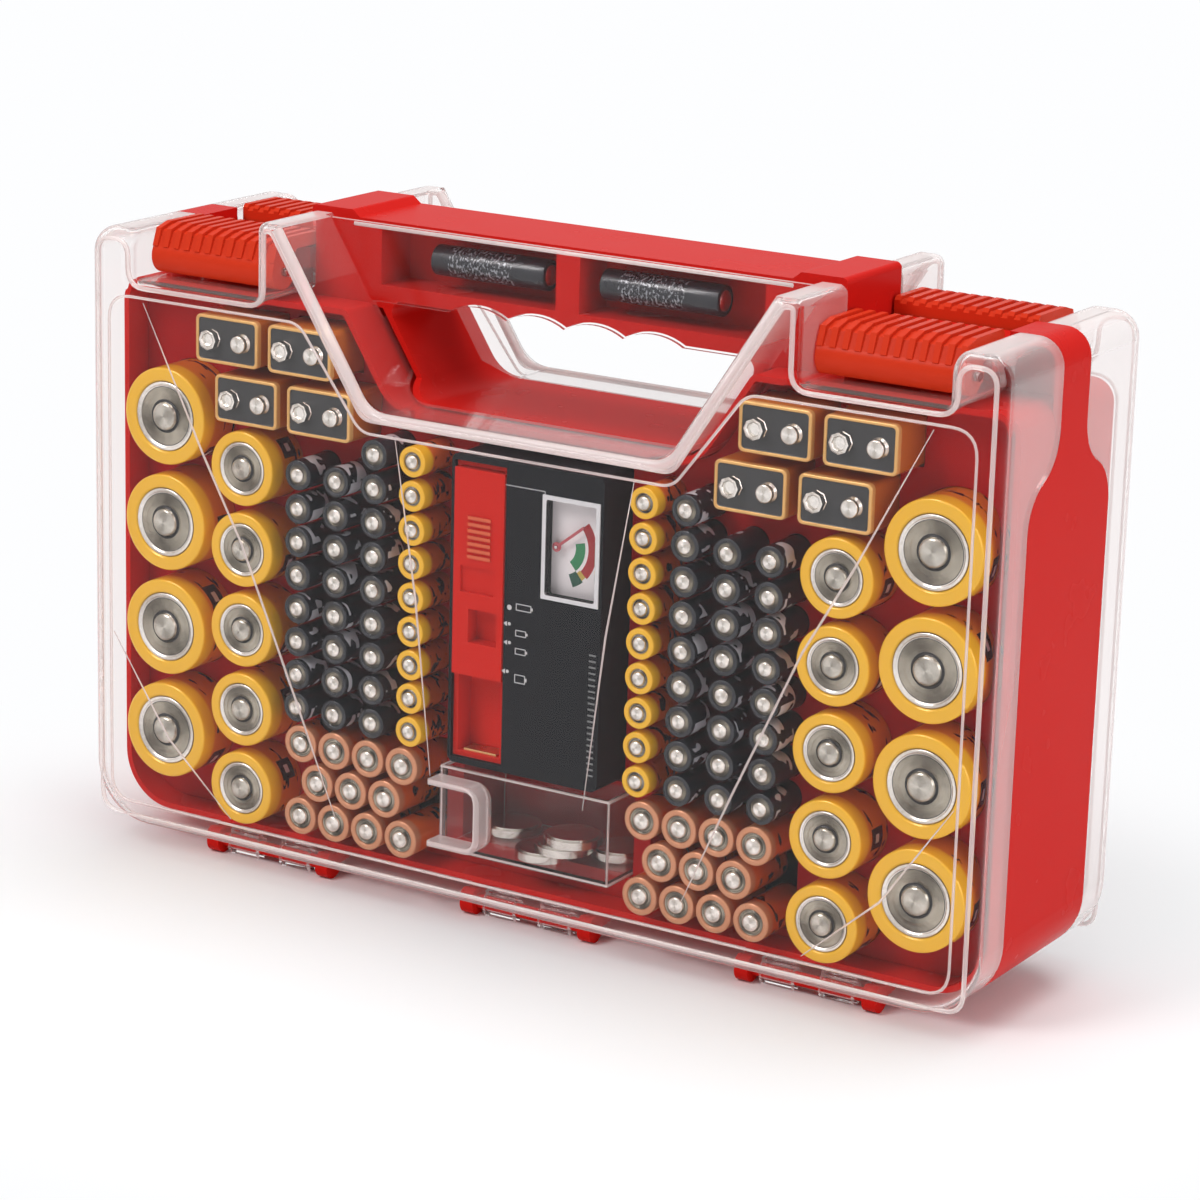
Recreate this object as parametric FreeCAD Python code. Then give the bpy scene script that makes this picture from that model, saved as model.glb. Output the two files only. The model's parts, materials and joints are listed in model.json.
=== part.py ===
import FreeCAD, Part
import math
import os

# Battery storage carrying case with a clear lid on each side.
# Millimetres. X runs across, -Y is the front, +Z is up.
# The origin is under the middle of the case, on the floor that the hinge ears stand on.

V = FreeCAD.Vector

# ---- cell sizes ----------------------------------------------------------------------------
d_radius = 17.0
d_length = 61.0
c_radius = 13.0
c_length = 50.0
aaa_radius = 5.25
aaa_length = 44.5
aa_radius = 6.6
aa_length = 50.5
nine_width = 26.0
nine_height = 16.4
nine_length = 48.5
nine_radius = 2.0
snap_spacing = 12.7
snap_radius = 3.1
snap_height = 2.6
button_share = 0.26           # button radius as a share of the cell's
plate_share = 0.66            # end plate radius as a share of the cell's
rim_share = 0.08
button_rise = 0.9
plate_depth = 0.6
cell_edge = 0.5

# ---- hinges --------------------------------------------------------------------------------
ear_radius = 4.0
ear_thick = 5.0
hinge_axis_z = ear_radius     # the ears stand on the floor
hinge_spacing = 107.5
hinge_places = (-hinge_spacing, 0.0, hinge_spacing)
hinge_width = 52.0
gusset_run = 22.0
rod_radius = 1.6
rod_running = 0.06
clip_radius = 3.5
clip_width = 12.0
clip_offset = 11.0
clip_mouth = 2.4
clip_neck = 3.0
ear_lead = 0.2                # ear root behind the case's rim
ear_step = 0.6                # ear root below the top of its disc

# ---- case ----------------------------------------------------------------------------------
half_width = 174.0            # centre to the outer side
case_lift = 5.0               # hinge axis to the underside of the case
case_bottom = hinge_axis_z + case_lift
corner_radius = 22.0          # lower corners, seen from the front
far_top = 221.5               # top of the outer shoulders
far_radius = 9.0
shoulder_width = 19.0         # outer shoulder of a lid, beside its latch
bay_width = 52.0              # latch bay, between the outer shoulder and the inner boss
bay_outer = half_width - shoulder_width
bay_inner = bay_outer - bay_width
bay_corner = 1.5              # corners of the lid's latch bay
panel_top = 204.5             # ledge under the latches
boss_top = 230.5              # top of the lid bosses beside the handle
boss_width = 9.0              # top of an inner boss
notch_floor = 172.5           # floor of the hand hole
notch_half = 56.4             # half width of the notch at its floor
notch_radius = 14.0
body_half_depth = 29.0        # red body, middle to its rim
slim_half_depth = 9.5         # red band between the lids at shoulder level
shoulder_low = 163.0          # where the rim starts to curve inwards
shoulder_high = 193.0         # where the curve ends
body_wall = 2.0
edge_wall = 4.0               # outer band of the red body
web_drop = 8.0                # middle web, from the ledge down
core_drop = 0.4               # inner ring's top below the lid's ledge wall
core_radius = 3.0
lap = 1.0                     # how far joined pieces of one moulding reach into each other
beyond = 60.0                 # cutters reach this far past the middle plane
lid_wall = 1.8
cell_inset = 10.0             # front faces of the upright cells behind the lid's face
well_floor = 1.5
panel_gap = 1.0               # longest wells to the red back panel
tray_thick = 2.0
back_cell_gap = 8.5           # lying cells at the back to the lid's pane
front_stack = cell_inset + d_length + well_floor + panel_gap + body_wall
back_stack = tray_thick + 2.0 * aa_radius + back_cell_gap + lid_wall
lid_half_depth = (front_stack + back_stack) / 2.0
lid_edge_radius = 7.0         # rounded front edge along the sides and the bottom
lid_bay_edge_radius = 4.2     # around the latch bays
lid_inner_edge_radius = 3.2   # along the notch and the inner bosses
seam = 0.3                    # gap between a lid's rim and the body
spigot_gap = 1.0              # gap inside the lid wall
spigot_reach = 4.0            # how far the spigot stands past the rim
hinge_lead = 3.0              # hinge axis in front of the case's rim
hinge_axis_y = body_half_depth + hinge_lead

# ---- handle --------------------------------------------------------------------------------
handle_half_depth = 18.0
handle_drop = 0.4             # grip top below the bosses
handle_top = boss_top - handle_drop
handle_height = 26.6
handle_under = handle_top - handle_height
cap_rise = 2.0                # caps above the bosses
cap_top = boss_top + cap_rise
cap_side_gap = 0.4
cap_width = 16.6
cap_outer = bay_inner - cap_side_gap
cap_inner = cap_outer - cap_width
cap_drop = 4.0                # how far the grip reaches below the latch ledges
cap_slope = 3.0
cap_radius = 2.0
scallop_pitch = 22.6
scallop_rise = 3.0
scallop_count = 4
pane_gap = 0.5                # lid pane to the handle front
pane_top_drop = 0.8
grip_clear = 3.5              # lid's cut-out below the grip
hole_side_gap = 1.0           # hand hole wall to the lid's notch wall
hole_low_radius = 12.0        # lower corners of the hand hole
hole_high_radius = 4.0
divider_width = 9.0
pocket_web = 1.2              # middle wall between the front and back pockets, each half

# ---- latches -------------------------------------------------------------------------------
latch_inset = 17.2            # latch pin behind the lid's face
latch_axis_y = lid_half_depth - latch_inset
barrel_radius = 6.2
barrel_gap = 0.8              # barrel above the ledge
latch_axis_z = panel_top + barrel_radius + barrel_gap
latch_side_gap = 0.6
latch_pin_radius = 1.5
latch_pin_running = 0.05
pin_proud = 0.6               # pin ends past the lid wall
latch_rise = 10.1             # latch top above its pin
latch_top = latch_axis_z + latch_rise
latch_plate = 3.4
latch_under_gap = 1.7         # latch plate above the red body
bay_floor = latch_top - latch_plate - latch_under_gap
latch_rear = 12.0             # rear face of the latch, from the middle plane
latch_slope = 7.5
hook_thick = 2.4
hook_depth = 4.4
hook_gap = 1.0                # lets the hook swing out of its groove
catch_ridge = 2.6             # ridge in front of the groove
catch_front = latch_rear + hook_thick + hook_gap + catch_ridge
catch_height = 6.5
catch_margin = 2.0
catch_rise = 0.5
rib_count = 12
rib_width = 2.0
rib_height = 1.0
rib_root = 2.0                # how deep the ribs reach into the latch plate
nose_angle = 35.0             # where the latch top leaves the barrel
nose_run = 2.2
nose_drop = 1.6
rear_chamfer = 1.2

# ---- front tray ----------------------------------------------------------------------------
socket_gap = 0.25
well_wall = 1.0
well_radius = 1.5
strip_share = 0.9             # corner radius of a row of wells as a share of the cell's
socket_corner = 0.6
tray_edge_gap = 0.3
cell_front = lid_half_depth - cell_inset
cell_stand = 18.0             # how far the cells stand out of the tray
tray_front = cell_front - cell_stand
panel_back = d_length - cell_front + well_floor + panel_gap
tray_step = lid_wall + spigot_gap + body_wall + tray_edge_gap
tray_side = half_width - tray_step
tray_bottom = case_bottom + tray_step
tray_top = panel_top - tray_step - core_drop
tray_notch = notch_floor - tray_step
well_edge = socket_gap + well_wall

# ---- square cells, beside the notch ----------------------------------------------------------
nine_top_margin = 3.25
nine_notch_gap = 12.95        # inner cell to the notch edge, at the cell's middle
nine_column_gap = 4.2
nine_row_gap = 3.5
nine_low_shift = 8.1
nine_high_z = tray_top - nine_top_margin - well_edge - nine_height / 2.0
nine_low_z = nine_high_z - nine_height - nine_row_gap
nine_pitch_x = nine_width + nine_column_gap

# ---- round cells ----------------------------------------------------------------------------
d_side = 2.55                 # outer wells to the tray's edge
d_low_margin = 11.26
d_top_margin = 24.25
d_least_gap = 3.5
d_x = tray_side - d_side - well_edge - d_radius
c_gap = 3.0                   # between the two widest columns
c_low_margin = 0.27
c_top_wall = 1.8
c_least_gap = 2.5
c_x = d_x - d_radius - c_gap - c_radius
aaa_side_gap = 5.45
aaa_column_gap = 5.03
aaa_top_margin = 5.0
aaa_least_gap = 1.1
aaa_bay_wall = 0.5            # lowest slim wells above the bay of small round cells
aaa_x = c_x - c_radius - aaa_side_gap - aaa_radius
insert_margin = 1.5           # least space between the wells and those of the middle inserts
aa_side_gap = 4.45
aa_gap = 0.8
aa_nest = 0.2                 # how far the staggered rows close up
aa_low_margin = 1.65
aa_rows = 3
aa_pitch = 2.0 * aa_radius + aa_gap
aa_row_pitch = 2.0 * aa_radius - aa_nest
aa_low = tray_bottom + aa_low_margin + well_edge + aa_radius
aa_high = aa_low + (aa_rows - 1) * aa_row_pitch

# ---- back tray -------------------------------------------------------------------------------
back_rib = 2.0                # walls between the columns at the back
back_end_gap = 2.0            # cell ends to those walls, both ends together
back_side = 4.0
back_row_gap = 1.8
back_low_margin = 4.3
back_top_margin = 0.5
back_rib_share = 1.3          # height of the walls as a share of the cell radius
ridge_width = 0.8             # ridges between the rows
ridge_share = 0.6
back_pitch_x = aa_length + back_rib + back_end_gap
back_columns = int(2.0 * (tray_side - back_side) / back_pitch_x)
back_pitch_z = 2.0 * aa_radius + back_row_gap
back_first_z = tray_bottom + back_low_margin + aa_radius
back_rows = int((tray_notch - back_top_margin - aa_radius - back_first_z) / back_pitch_z) + 1

# ---- cells in the grip -------------------------------------------------------------------------
grip_cell_inset = 6.25        # cell end to the middle divider
grip_cell_depth = 1.85        # cell behind the grip's face
handle_cell_x = divider_width / 2.0 + grip_cell_inset + aaa_length / 2.0
handle_cell_y = handle_half_depth - grip_cell_depth - aaa_radius
pocket_low = handle_under + scallop_rise + body_wall
pocket_high = handle_top - body_wall
handle_cell_z = (pocket_low + pocket_high) / 2.0

# ---- coin drawer ---------------------------------------------------------------------------
drawer_half = 33.5
drawer_margin = 6.7           # drawer well above the tray's lower edge
drawer_height = 29.8
drawer_inset = 3.0            # drawer front behind the cell fronts
drawer_depth = 40.0
drawer_wall = 1.6
drawer_gap = 0.8
drawer_low = tray_bottom + drawer_margin + well_wall + drawer_gap
drawer_high = drawer_low + drawer_height
drawer_front = cell_front - drawer_inset
pull_depth = 7.5
pull_width = 20.9
pull_thick = 2.0
pull_inset = 3.0
pull_round = 6.0
coin_radius = 10.0
coin_thick = 3.2
coin_step = 0.6               # height of a coin cell's button side
coin_rim = 1.2

# ---- tester --------------------------------------------------------------------------------
tester_half = 29.5
tester_inset = 1.0            # tester front behind the cell fronts
tester_front = cell_front - tester_inset
tester_depth = 27.5
tester_wall = 2.0
tester_gap = 0.6
tester_radius = 2.5
insert_wall = 1.4             # tray between the drawer and the tester
tester_top_margin = 4.3
tester_low = drawer_high + drawer_gap + insert_wall + tester_gap
tester_high = tray_notch - tester_top_margin - well_wall - tester_gap
cover_thick = 1.6
trough_inset = 1.2
trough_end_inset = 2.2
trough_width = 20.3
trough_left = trough_inset - tester_half
trough_right = trough_left + trough_width
trough_low = tester_low + trough_end_inset
trough_high = tester_high - trough_end_inset
trough_depth = 11.0
trough_wall = 1.8
slide_top_gap = 0.5
slide_length = 70.5
slide_high = trough_high - trough_wall - slide_top_gap
slide_low = slide_high - slide_length
slide_gap = 0.4
slide_lip = 1.6
slide_proud = 0.6             # slide face in front of the housing
grip_rib_count = 7
grip_rib_pitch = 2.2
grip_rib_width = 1.1
grip_rib_height = 0.7
grip_rib_length = 9.0
grip_rib_inset = 6.0
grip_rib_drop = 30.0          # lowest rib below the top of the slide
slide_recess_high = 47.5      # recess in the slide, below its top
slide_recess_low = 59.0
slide_recess_depth = 5.5
slide_recess_left = 6.5
slide_recess_right = 2.6
thumb_high = 33.0             # shallow thumb rest in the slide
thumb_low = 42.0
thumb_depth = 1.2
thumb_left = 3.0
thumb_right = 4.0
meter_side = 2.7
meter_drop = 26.2             # middle of the meter below the top of the tester
meter_width = 19.0
meter_height = 32.0
meter_radius = 0.8
meter_x = tester_half - meter_side - meter_width / 2.0
meter_z = tester_high - meter_drop
lens_thick = 1.4
lens_proud = 0.6
dial_back = 4.6
dial_thick = 0.8
dial_margin = 0.5
needle_length = 13.0
needle_thick = 0.5
needle_width = 0.9
needle_hub = 1.6
needle_pivot_inset = 2.6
needle_bore = 0.55
needle_lift = 2.2             # needle in front of the dial
needle_angle = 38.0
pivot_radius = 0.5
pivot_reach = 2.6
contact_thick = 0.8
contact_side_gap = 1.6        # contacts to the channel walls, past the slide gap
slide_contact_height = 4.0
slide_contact_inset = 2.0
trough_contact_height = 6.0
trough_contact_inset = 1.0
coil_radius = 7.5
coil_depth = 10.0
coil_shift = 2.0
board_thick = 1.6
board_margin = 4.0
board_drop = 8.0              # board above the housing's lower edge
board_height = 52.0
board_inset = 6.0


# ---- small helpers -------------------------------------------------------------------------
def rounded_loop(corners, y=0.0):
    """Closed wire in the X-Z plane through corners (x, z, radius)."""
    count = len(corners)
    starts = []
    ends = []
    arcs = []
    for i in range(count):
        x, z, radius = corners[i]
        before = corners[i - 1]
        after = corners[(i + 1) % count]
        here = V(x, y, z)
        to_before = V(before[0], y, before[1]).sub(here).normalize()
        to_after = V(after[0], y, after[1]).sub(here).normalize()
        if radius <= 0.0:
            starts.append(here)
            ends.append(here)
            arcs.append(None)
            continue
        half = to_before.getAngle(to_after) / 2.0
        reach = radius / math.tan(half)
        first = here.add(V(to_before).multiply(reach))
        last = here.add(V(to_after).multiply(reach))
        bisector = to_before.add(to_after).normalize()
        crown = here.add(bisector.multiply(radius / math.sin(half) - radius))
        starts.append(first)
        ends.append(last)
        arcs.append(Part.Arc(first, crown, last).toShape())
    edges = []
    for i in range(count):
        if arcs[i] is not None:
            edges.append(arcs[i])
        following = starts[(i + 1) % count]
        if ends[i].distanceToPoint(following) > 1e-6:
            edges.append(Part.LineSegment(ends[i], following).toShape())
    return Part.Wire(edges)


def slab(outer, y_low, y_high, holes=()):
    """Solid between two depths from a wire in the X-Z plane, with holes."""
    face = Part.makeFace([outer] + list(holes), "Part::FaceMakerBullseye")
    face.translate(V(0, y_low - outer.BoundBox.YMin, 0))
    return face.extrude(V(0, y_high - y_low, 0))


def inset(wire, distance):
    """The same outline moved inwards."""
    return Part.Face(wire).makeOffset2D(-distance).Wires[0]


def mirrored_x(points):
    """Right-hand corner list completed with its mirror image."""
    left = [(-x, z, radius) for x, z, radius in reversed(points)]
    return points + left


def box(x_low, x_high, y_low, y_high, z_low, z_high):
    return Part.makeBox(x_high - x_low, y_high - y_low, z_high - z_low, V(x_low, y_low, z_low))


def side_prism(points, x_low, x_high):
    """Solid from a polygon of (y, z) points, between two x values."""
    loop = [V(x_low, y, z) for y, z in points]
    face = Part.Face(Part.makePolygon(loop + [loop[0]]))
    return face.extrude(V(x_high - x_low, 0, 0))


def rod_x(radius, x_low, x_high, y, z):
    return Part.makeCylinder(radius, x_high - x_low, V(x_low, y, z), V(1, 0, 0))


def rod_y(radius, y_low, y_high, x, z):
    return Part.makeCylinder(radius, y_high - y_low, V(x, y_low, z), V(0, 1, 0))


def circle_y(radius, x, z):
    return Part.Wire(Part.Circle(V(x, 0, z), V(0, 1, 0), radius).toShape())


def rectangle(x_low, x_high, z_low, z_high, radius=0.0):
    return rounded_loop([(x_low, z_low, radius), (x_high, z_low, radius),
                         (x_high, z_high, radius), (x_low, z_high, radius)])


def joined(shapes):
    return shapes[0].multiFuse(shapes[1:]).removeSplitter()


def to_back(shape):
    """Mirror image on the other side of the middle plane."""
    return shape.mirror(V(0, 0, 0), V(0, 1, 0))


def to_left(shape):
    return shape.mirror(V(0, 0, 0), V(1, 0, 0))


def save(name, shapes):
    if not isinstance(shapes, (list, tuple)):
        shapes = [shapes]
    solids = [solid for shape in shapes for solid in shape.Solids]
    whole = solids[0] if len(solids) == 1 else Part.makeCompound(solids)
    volume = sum(solid.Volume for solid in solids)
    whole.exportStep("parts/" + name + ".step")
    print(f"{name}: {len(solids)} solids, {volume / 1000:.1f} cm3, valid {whole.isValid()}")


# ---- outlines ------------------------------------------------------------------------------
boss_inner_top = bay_inner - boss_width
notch_lean = (boss_inner_top - notch_half) / (boss_top - notch_floor)


def notch_edge(z):
    """Half width of the lid's notch at a height."""
    return notch_half + notch_lean * (z - notch_floor)


def lid_outline():
    right = [(half_width, case_bottom, corner_radius),
             (half_width, far_top, far_radius),
             (bay_outer, far_top, 0.0),
             (bay_outer, panel_top, bay_corner),
             (bay_inner, panel_top, bay_corner),
             (bay_inner, boss_top, 0.0),
             (boss_inner_top, boss_top, 0.0),
             (notch_half, notch_floor, notch_radius)]
    return rounded_loop(mirrored_x(right))


def body_outline():
    right = [(half_width, case_bottom, corner_radius),
             (half_width, far_top, far_radius),
             (bay_outer, far_top, 0.0),
             (bay_outer, bay_floor, 0.0),
             (bay_inner, bay_floor, 0.0)]
    return rounded_loop(mirrored_x(right))


def core_outline(extra=0.0):
    """Red inner ring that the lids close around."""
    gap = lid_wall + spigot_gap + extra
    top = panel_top - gap - core_drop
    floor = notch_floor - gap
    lean = math.hypot(1.0, notch_lean)
    corner_x = notch_edge(floor) + gap * lean
    right = [(half_width - gap, case_bottom + gap, corner_radius - gap),
             (half_width - gap, top, far_radius - gap / 2.0),
             (notch_edge(top) + gap * lean, top, core_radius),
             (corner_x, floor, notch_radius + gap)]
    return rounded_loop(mirrored_x(right))


def hole_outline(extra=0.0):
    """Hand hole: its floor is level with the notch and its sides lean outwards."""
    lean = math.hypot(1.0, notch_lean)
    shift = (hole_side_gap + body_wall) * lean - extra * lean
    low = notch_floor - extra
    high = handle_under + extra
    right = [(notch_edge(low) - shift, low, hole_low_radius + extra),
             (notch_edge(high) - shift, high, hole_high_radius + extra)]
    return rounded_loop(mirrored_x(right))


def band_profile(gap):
    """Side view of the red band: full depth below, slim at shoulder height."""
    wide = body_half_depth + gap
    slim = slim_half_depth + gap
    step = wide - slim
    rise = shoulder_high - shoulder_low
    radius = (step ** 2 + rise ** 2) / (4.0 * step)
    middle = V(0, (wide + slim) / 2.0, (shoulder_low + shoulder_high) / 2.0)
    turn = 2.0 * math.atan2(step, rise)
    inwards = radius * (1.0 - math.cos(turn / 2.0))
    along = radius * math.sin(turn / 2.0)
    low_crown = V(0, wide - inwards, shoulder_low + along)
    high_crown = V(0, slim + inwards, shoulder_high - along)
    bottom = case_bottom - beyond
    top = cap_top + beyond
    right = [Part.LineSegment(V(0, wide, bottom), V(0, wide, shoulder_low)).toShape(),
             Part.Arc(V(0, wide, shoulder_low), low_crown, middle).toShape(),
             Part.Arc(middle, high_crown, V(0, slim, shoulder_high)).toShape(),
             Part.LineSegment(V(0, slim, shoulder_high), V(0, slim, top)).toShape()]
    left = [edge.mirror(V(0, 0, 0), V(0, 1, 0)) for edge in right]
    caps = [Part.LineSegment(V(0, slim, top), V(0, -slim, top)).toShape(),
            Part.LineSegment(V(0, wide, bottom), V(0, -wide, bottom)).toShape()]
    loop = Part.Wire(Part.__sortEdges__(right + left + caps))
    face = Part.Face(loop)
    face.translate(V(-half_width - beyond, 0, 0))
    return face.extrude(V(2.0 * (half_width + beyond), 0, 0))


# ---- red body ------------------------------------------------------------------------------
def hinge_ear(x_low):
    x_high = x_low + ear_thick
    y = -hinge_axis_y
    root = case_bottom + lap
    rim = -body_half_depth + ear_lead
    gusset = side_prism([(y, hinge_axis_z - ear_radius), (y + gusset_run, case_bottom),
                         (y + gusset_run, root), (rim, root),
                         (rim, hinge_axis_z + ear_radius - ear_step),
                         (y, hinge_axis_z + ear_radius)], x_low, x_high)
    disc = rod_x(ear_radius, x_low, x_high, y, hinge_axis_z)
    return gusset.fuse(disc)


def hinge_ears():
    ears = []
    for place in hinge_places:
        ears.append(hinge_ear(place - hinge_width / 2.0))
        ears.append(hinge_ear(place + hinge_width / 2.0 - ear_thick))
    return ears


def rod_span(place):
    reach = hinge_width / 2.0 - ear_thick / 2.0
    return place - reach, place + reach


def hinge_rods():
    rods = []
    for place in hinge_places:
        low, high = rod_span(place)
        rods.append(rod_x(rod_radius, low, high, -hinge_axis_y, hinge_axis_z))
    return rods


def scallops(z_low, y_low, y_high):
    """Finger scallops along the underside of the grip."""
    half = scallop_pitch / 2.0
    radius = (half ** 2 + scallop_rise ** 2) / (2.0 * scallop_rise)
    cutters = []
    for i in range(scallop_count):
        x = (i - (scallop_count - 1) / 2.0) * scallop_pitch
        rod = rod_y(radius, y_low, y_high, x, z_low + scallop_rise - radius)
        above = box(x - half, x + half, y_low, y_high, z_low - scallop_rise, z_low + scallop_rise)
        cutters.append(rod.common(above))
    return cutters


def handle_pockets(side):
    """Cell compartments in one face of the grip."""
    pockets = []
    y_low, y_high = sorted((side * (handle_half_depth + lap), side * pocket_web))
    reach = notch_edge(pocket_low) - (hole_side_gap + body_wall) * 2.0
    for sign in (-1, 1):
        x_low, x_high = sorted((sign * divider_width / 2.0, sign * reach))
        pockets.append(box(x_low, x_high, y_low, y_high, pocket_low, pocket_high))
    return pockets


def handle_block():
    inner = hole_side_gap * math.hypot(1.0, notch_lean)
    low = panel_top - cap_drop
    corner = [(cap_outer, low, 0.0), (cap_outer, cap_top, cap_radius), (cap_inner, cap_top, cap_radius),
              (cap_inner - cap_slope, handle_top, 0.0)]
    upper = slab(rounded_loop(mirrored_x(corner)), -handle_half_depth, handle_half_depth)
    lower_corner = [(notch_edge(notch_floor) - inner, notch_floor, hole_low_radius),
                    (notch_edge(low + lap) - inner, low + lap, 0.0)]
    lower = slab(rounded_loop(mirrored_x(lower_corner)), -handle_half_depth, handle_half_depth)
    return [upper, lower]


def case_shell():
    outer = body_outline()
    band = slab(outer, -body_half_depth, body_half_depth, [inset(outer, edge_wall)])
    core = core_outline()
    reach = body_half_depth + spigot_reach
    ring = slab(core, -reach, reach, [inset(core, body_wall)])
    panel = slab(core, panel_back, panel_back + body_wall)
    web = slab(inset(outer, edge_wall / 2.0), -body_wall / 2.0, body_wall / 2.0)
    web = web.common(box(-half_width, half_width, -body_wall, body_wall, panel_top - web_drop, cap_top))
    flush = band_profile(0.0)
    floor = slab(hole_outline(body_wall), -body_half_depth, body_half_depth)
    floor = floor.common(box(-half_width, half_width, -beyond, beyond, 0, notch_floor + notch_radius))
    floor = floor.common(flush)
    parts = [band.common(flush), ring, panel, web, floor]
    parts += handle_block()
    parts += catch_blocks()
    shell = joined(parts + [ear for front in hinge_ears() for ear in (front, to_back(front))])
    cutters = [slab(hole_outline(), -beyond, beyond)]
    cutters += scallops(handle_under, -beyond, beyond)
    cutters += handle_pockets(-1) + handle_pockets(1)
    cutters += hinge_rods() + [to_back(rod) for rod in hinge_rods()]
    return shell.cut(cutters).removeSplitter()


def catch_blocks():
    """Ridge and groove on the body that each latch hook drops into."""
    low = bay_floor - catch_height
    block = box(bay_inner + catch_margin, bay_outer - catch_margin, -catch_front, catch_front, low,
                bay_floor + catch_rise)
    front = latch_rear + hook_thick + hook_gap
    rear = latch_rear - hook_gap
    groove_floor = latch_top - latch_plate - hook_depth - hook_gap
    groove = box(bay_inner, bay_outer, -front, -rear, groove_floor, cap_top)
    right = block.cut([groove, to_back(groove)])
    return [right, to_left(right)]


# ---- clear lids ----------------------------------------------------------------------------
def front_face_edges(solid, y, keep):
    return [edge for edge in solid.Edges
            if abs(edge.BoundBox.YMin - y) < 1e-4 and abs(edge.BoundBox.YMax - y) < 1e-4
            and keep(edge)]


def edge_run(edge):
    """Which stretch of the lid's front edge this is: outer, bay or notch."""
    middle = edge.valueAt((edge.FirstParameter + edge.LastParameter) / 2.0)
    reach = abs(middle.x)
    if reach > bay_outer + lid_wall + lap or middle.z < case_bottom + corner_radius:
        return "outer"
    if reach > bay_inner - lid_wall - lap:
        return "bay"
    return "notch"


def rounded_block(outline, y_front, y_back, less):
    """Block behind an outline with its front edges rounded, each radius reduced by less."""
    block = slab(outline, y_front, y_back)
    radii = {"outer": lid_edge_radius, "bay": lid_bay_edge_radius, "notch": lid_inner_edge_radius}
    for run, radius in radii.items():
        edges = front_face_edges(block, y_front, lambda edge: edge_run(edge) == run)
        block = block.makeFillet(radius - less, edges)
    return block


def grip_pane():
    """Clear wall in front of the cells in the grip."""
    y = -handle_half_depth - pane_gap
    low = handle_under - pane_gap
    high = handle_top - pane_top_drop
    corners = [(notch_edge(low) + lap, low, 0.0), (notch_edge(high) + lap, high, 0.0)]
    pane = slab(rounded_loop(mirrored_x(corners)), y - lid_wall, y)
    return pane.cut(scallops(low, y - lid_wall - lap, y + lap))


def lid_clips():
    clips = []
    y = -hinge_axis_y
    for place in hinge_places:
        for sign in (-1, 1):
            middle = place + sign * clip_offset
            low = middle - clip_width / 2.0
            high = middle + clip_width / 2.0
            ring = rod_x(clip_radius, low, high, y, hinge_axis_z)
            neck = box(low, high, y - clip_neck / 2.0, y + clip_neck / 2.0, hinge_axis_z, case_bottom + lap)
            ring = ring.fuse(neck)
            bore = rod_x(rod_radius + rod_running, low, high, y, hinge_axis_z)
            open_end = hinge_axis_z - clip_radius - lap
            mouth = box(low, high, y - clip_mouth / 2.0, y + clip_mouth / 2.0, open_end,
                        hinge_axis_z)
            clips.append(ring.cut([bore, mouth]))
    return clips


def front_lid():
    outline = lid_outline()
    outer = rounded_block(outline, -lid_half_depth, -slim_half_depth, 0.0)
    inner = rounded_block(inset(outline, lid_wall), -lid_half_depth + lid_wall, 0.0, lid_wall)
    side = bay_inner + pane_gap / 2.0
    clear_of_grip = box(-side, side, -handle_half_depth - pane_gap, 0.0,
                        panel_top - cap_drop - grip_clear, cap_top + lap)
    band_space = band_profile(seam)
    band_space.translate(V(0, 0, seam))
    shell = outer.cut([inner, band_space, clear_of_grip])
    lid = joined([shell, grip_pane()] + lid_clips())
    return lid.cut([latch_pin(), to_left(latch_pin())])


# ---- latches -------------------------------------------------------------------------------
def latch_pin():
    reach = lid_wall + pin_proud
    return rod_x(latch_pin_radius, bay_inner - reach, bay_outer + reach, -latch_axis_y, latch_axis_z)


def latch_blade(lift):
    """Side view of the latch, its top raised by lift."""
    y = -latch_axis_y
    z = latch_axis_z
    top = latch_top + lift
    under = latch_top - latch_plate
    angle = math.radians(nose_angle)
    front = y - barrel_radius * math.cos(angle)
    nose = z + barrel_radius * math.sin(angle)
    forward = lift * 0.6
    return [(front - forward, nose), (front + nose_run - forward, top - nose_drop),
            (front + latch_slope, top), (-latch_rear - rear_chamfer, top), (-latch_rear, top - rear_chamfer),
            (-latch_rear, under - hook_depth), (-latch_rear - hook_thick, under - hook_depth),
            (-latch_rear - hook_thick, under), (y + barrel_radius, under),
            (y + barrel_radius / 2.0, z), (y, z)]


def latch():
    low = bay_inner + latch_side_gap
    high = bay_outer - latch_side_gap
    barrel = rod_x(barrel_radius, low, high, -latch_axis_y, latch_axis_z)
    parts = [barrel, side_prism(latch_blade(0.0), low, high)]
    pitch = (high - low - rib_width) / (rib_count - 1)
    for i in range(rib_count):
        start = low + i * pitch
        seat = latch_top - rib_root
        rib = latch_blade(rib_height)[:5] + [(-latch_rear, seat), (-latch_axis_y + barrel_radius, seat),
                                             (-latch_axis_y, latch_axis_z)]
        parts.append(side_prism(rib, start, start + rib_width))
    bore = rod_x(latch_pin_radius + latch_pin_running, low - lap, high + lap, -latch_axis_y, latch_axis_z)
    return joined(parts).cut(bore)


# ---- cells ---------------------------------------------------------------------------------
def round_cell(radius, length):
    """Upright cell with its button end towards the front, its axis on the origin."""
    button = radius * button_share
    plate = radius * plate_share
    profile = [(0.0, -button_rise), (button, -button_rise), (button, plate_depth), (plate, plate_depth),
               (plate, 0.0), (radius - radius * rim_share, 0.0), (radius, cell_edge),
               (radius, length - cell_edge), (radius - cell_edge, length), (0.0, length)]
    points = [V(r, y, 0) for r, y in profile]
    face = Part.Face(Part.makePolygon(points + [points[0]]))
    return face.revolve(V(0, 0, 0), V(0, 1, 0), 360)


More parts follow.
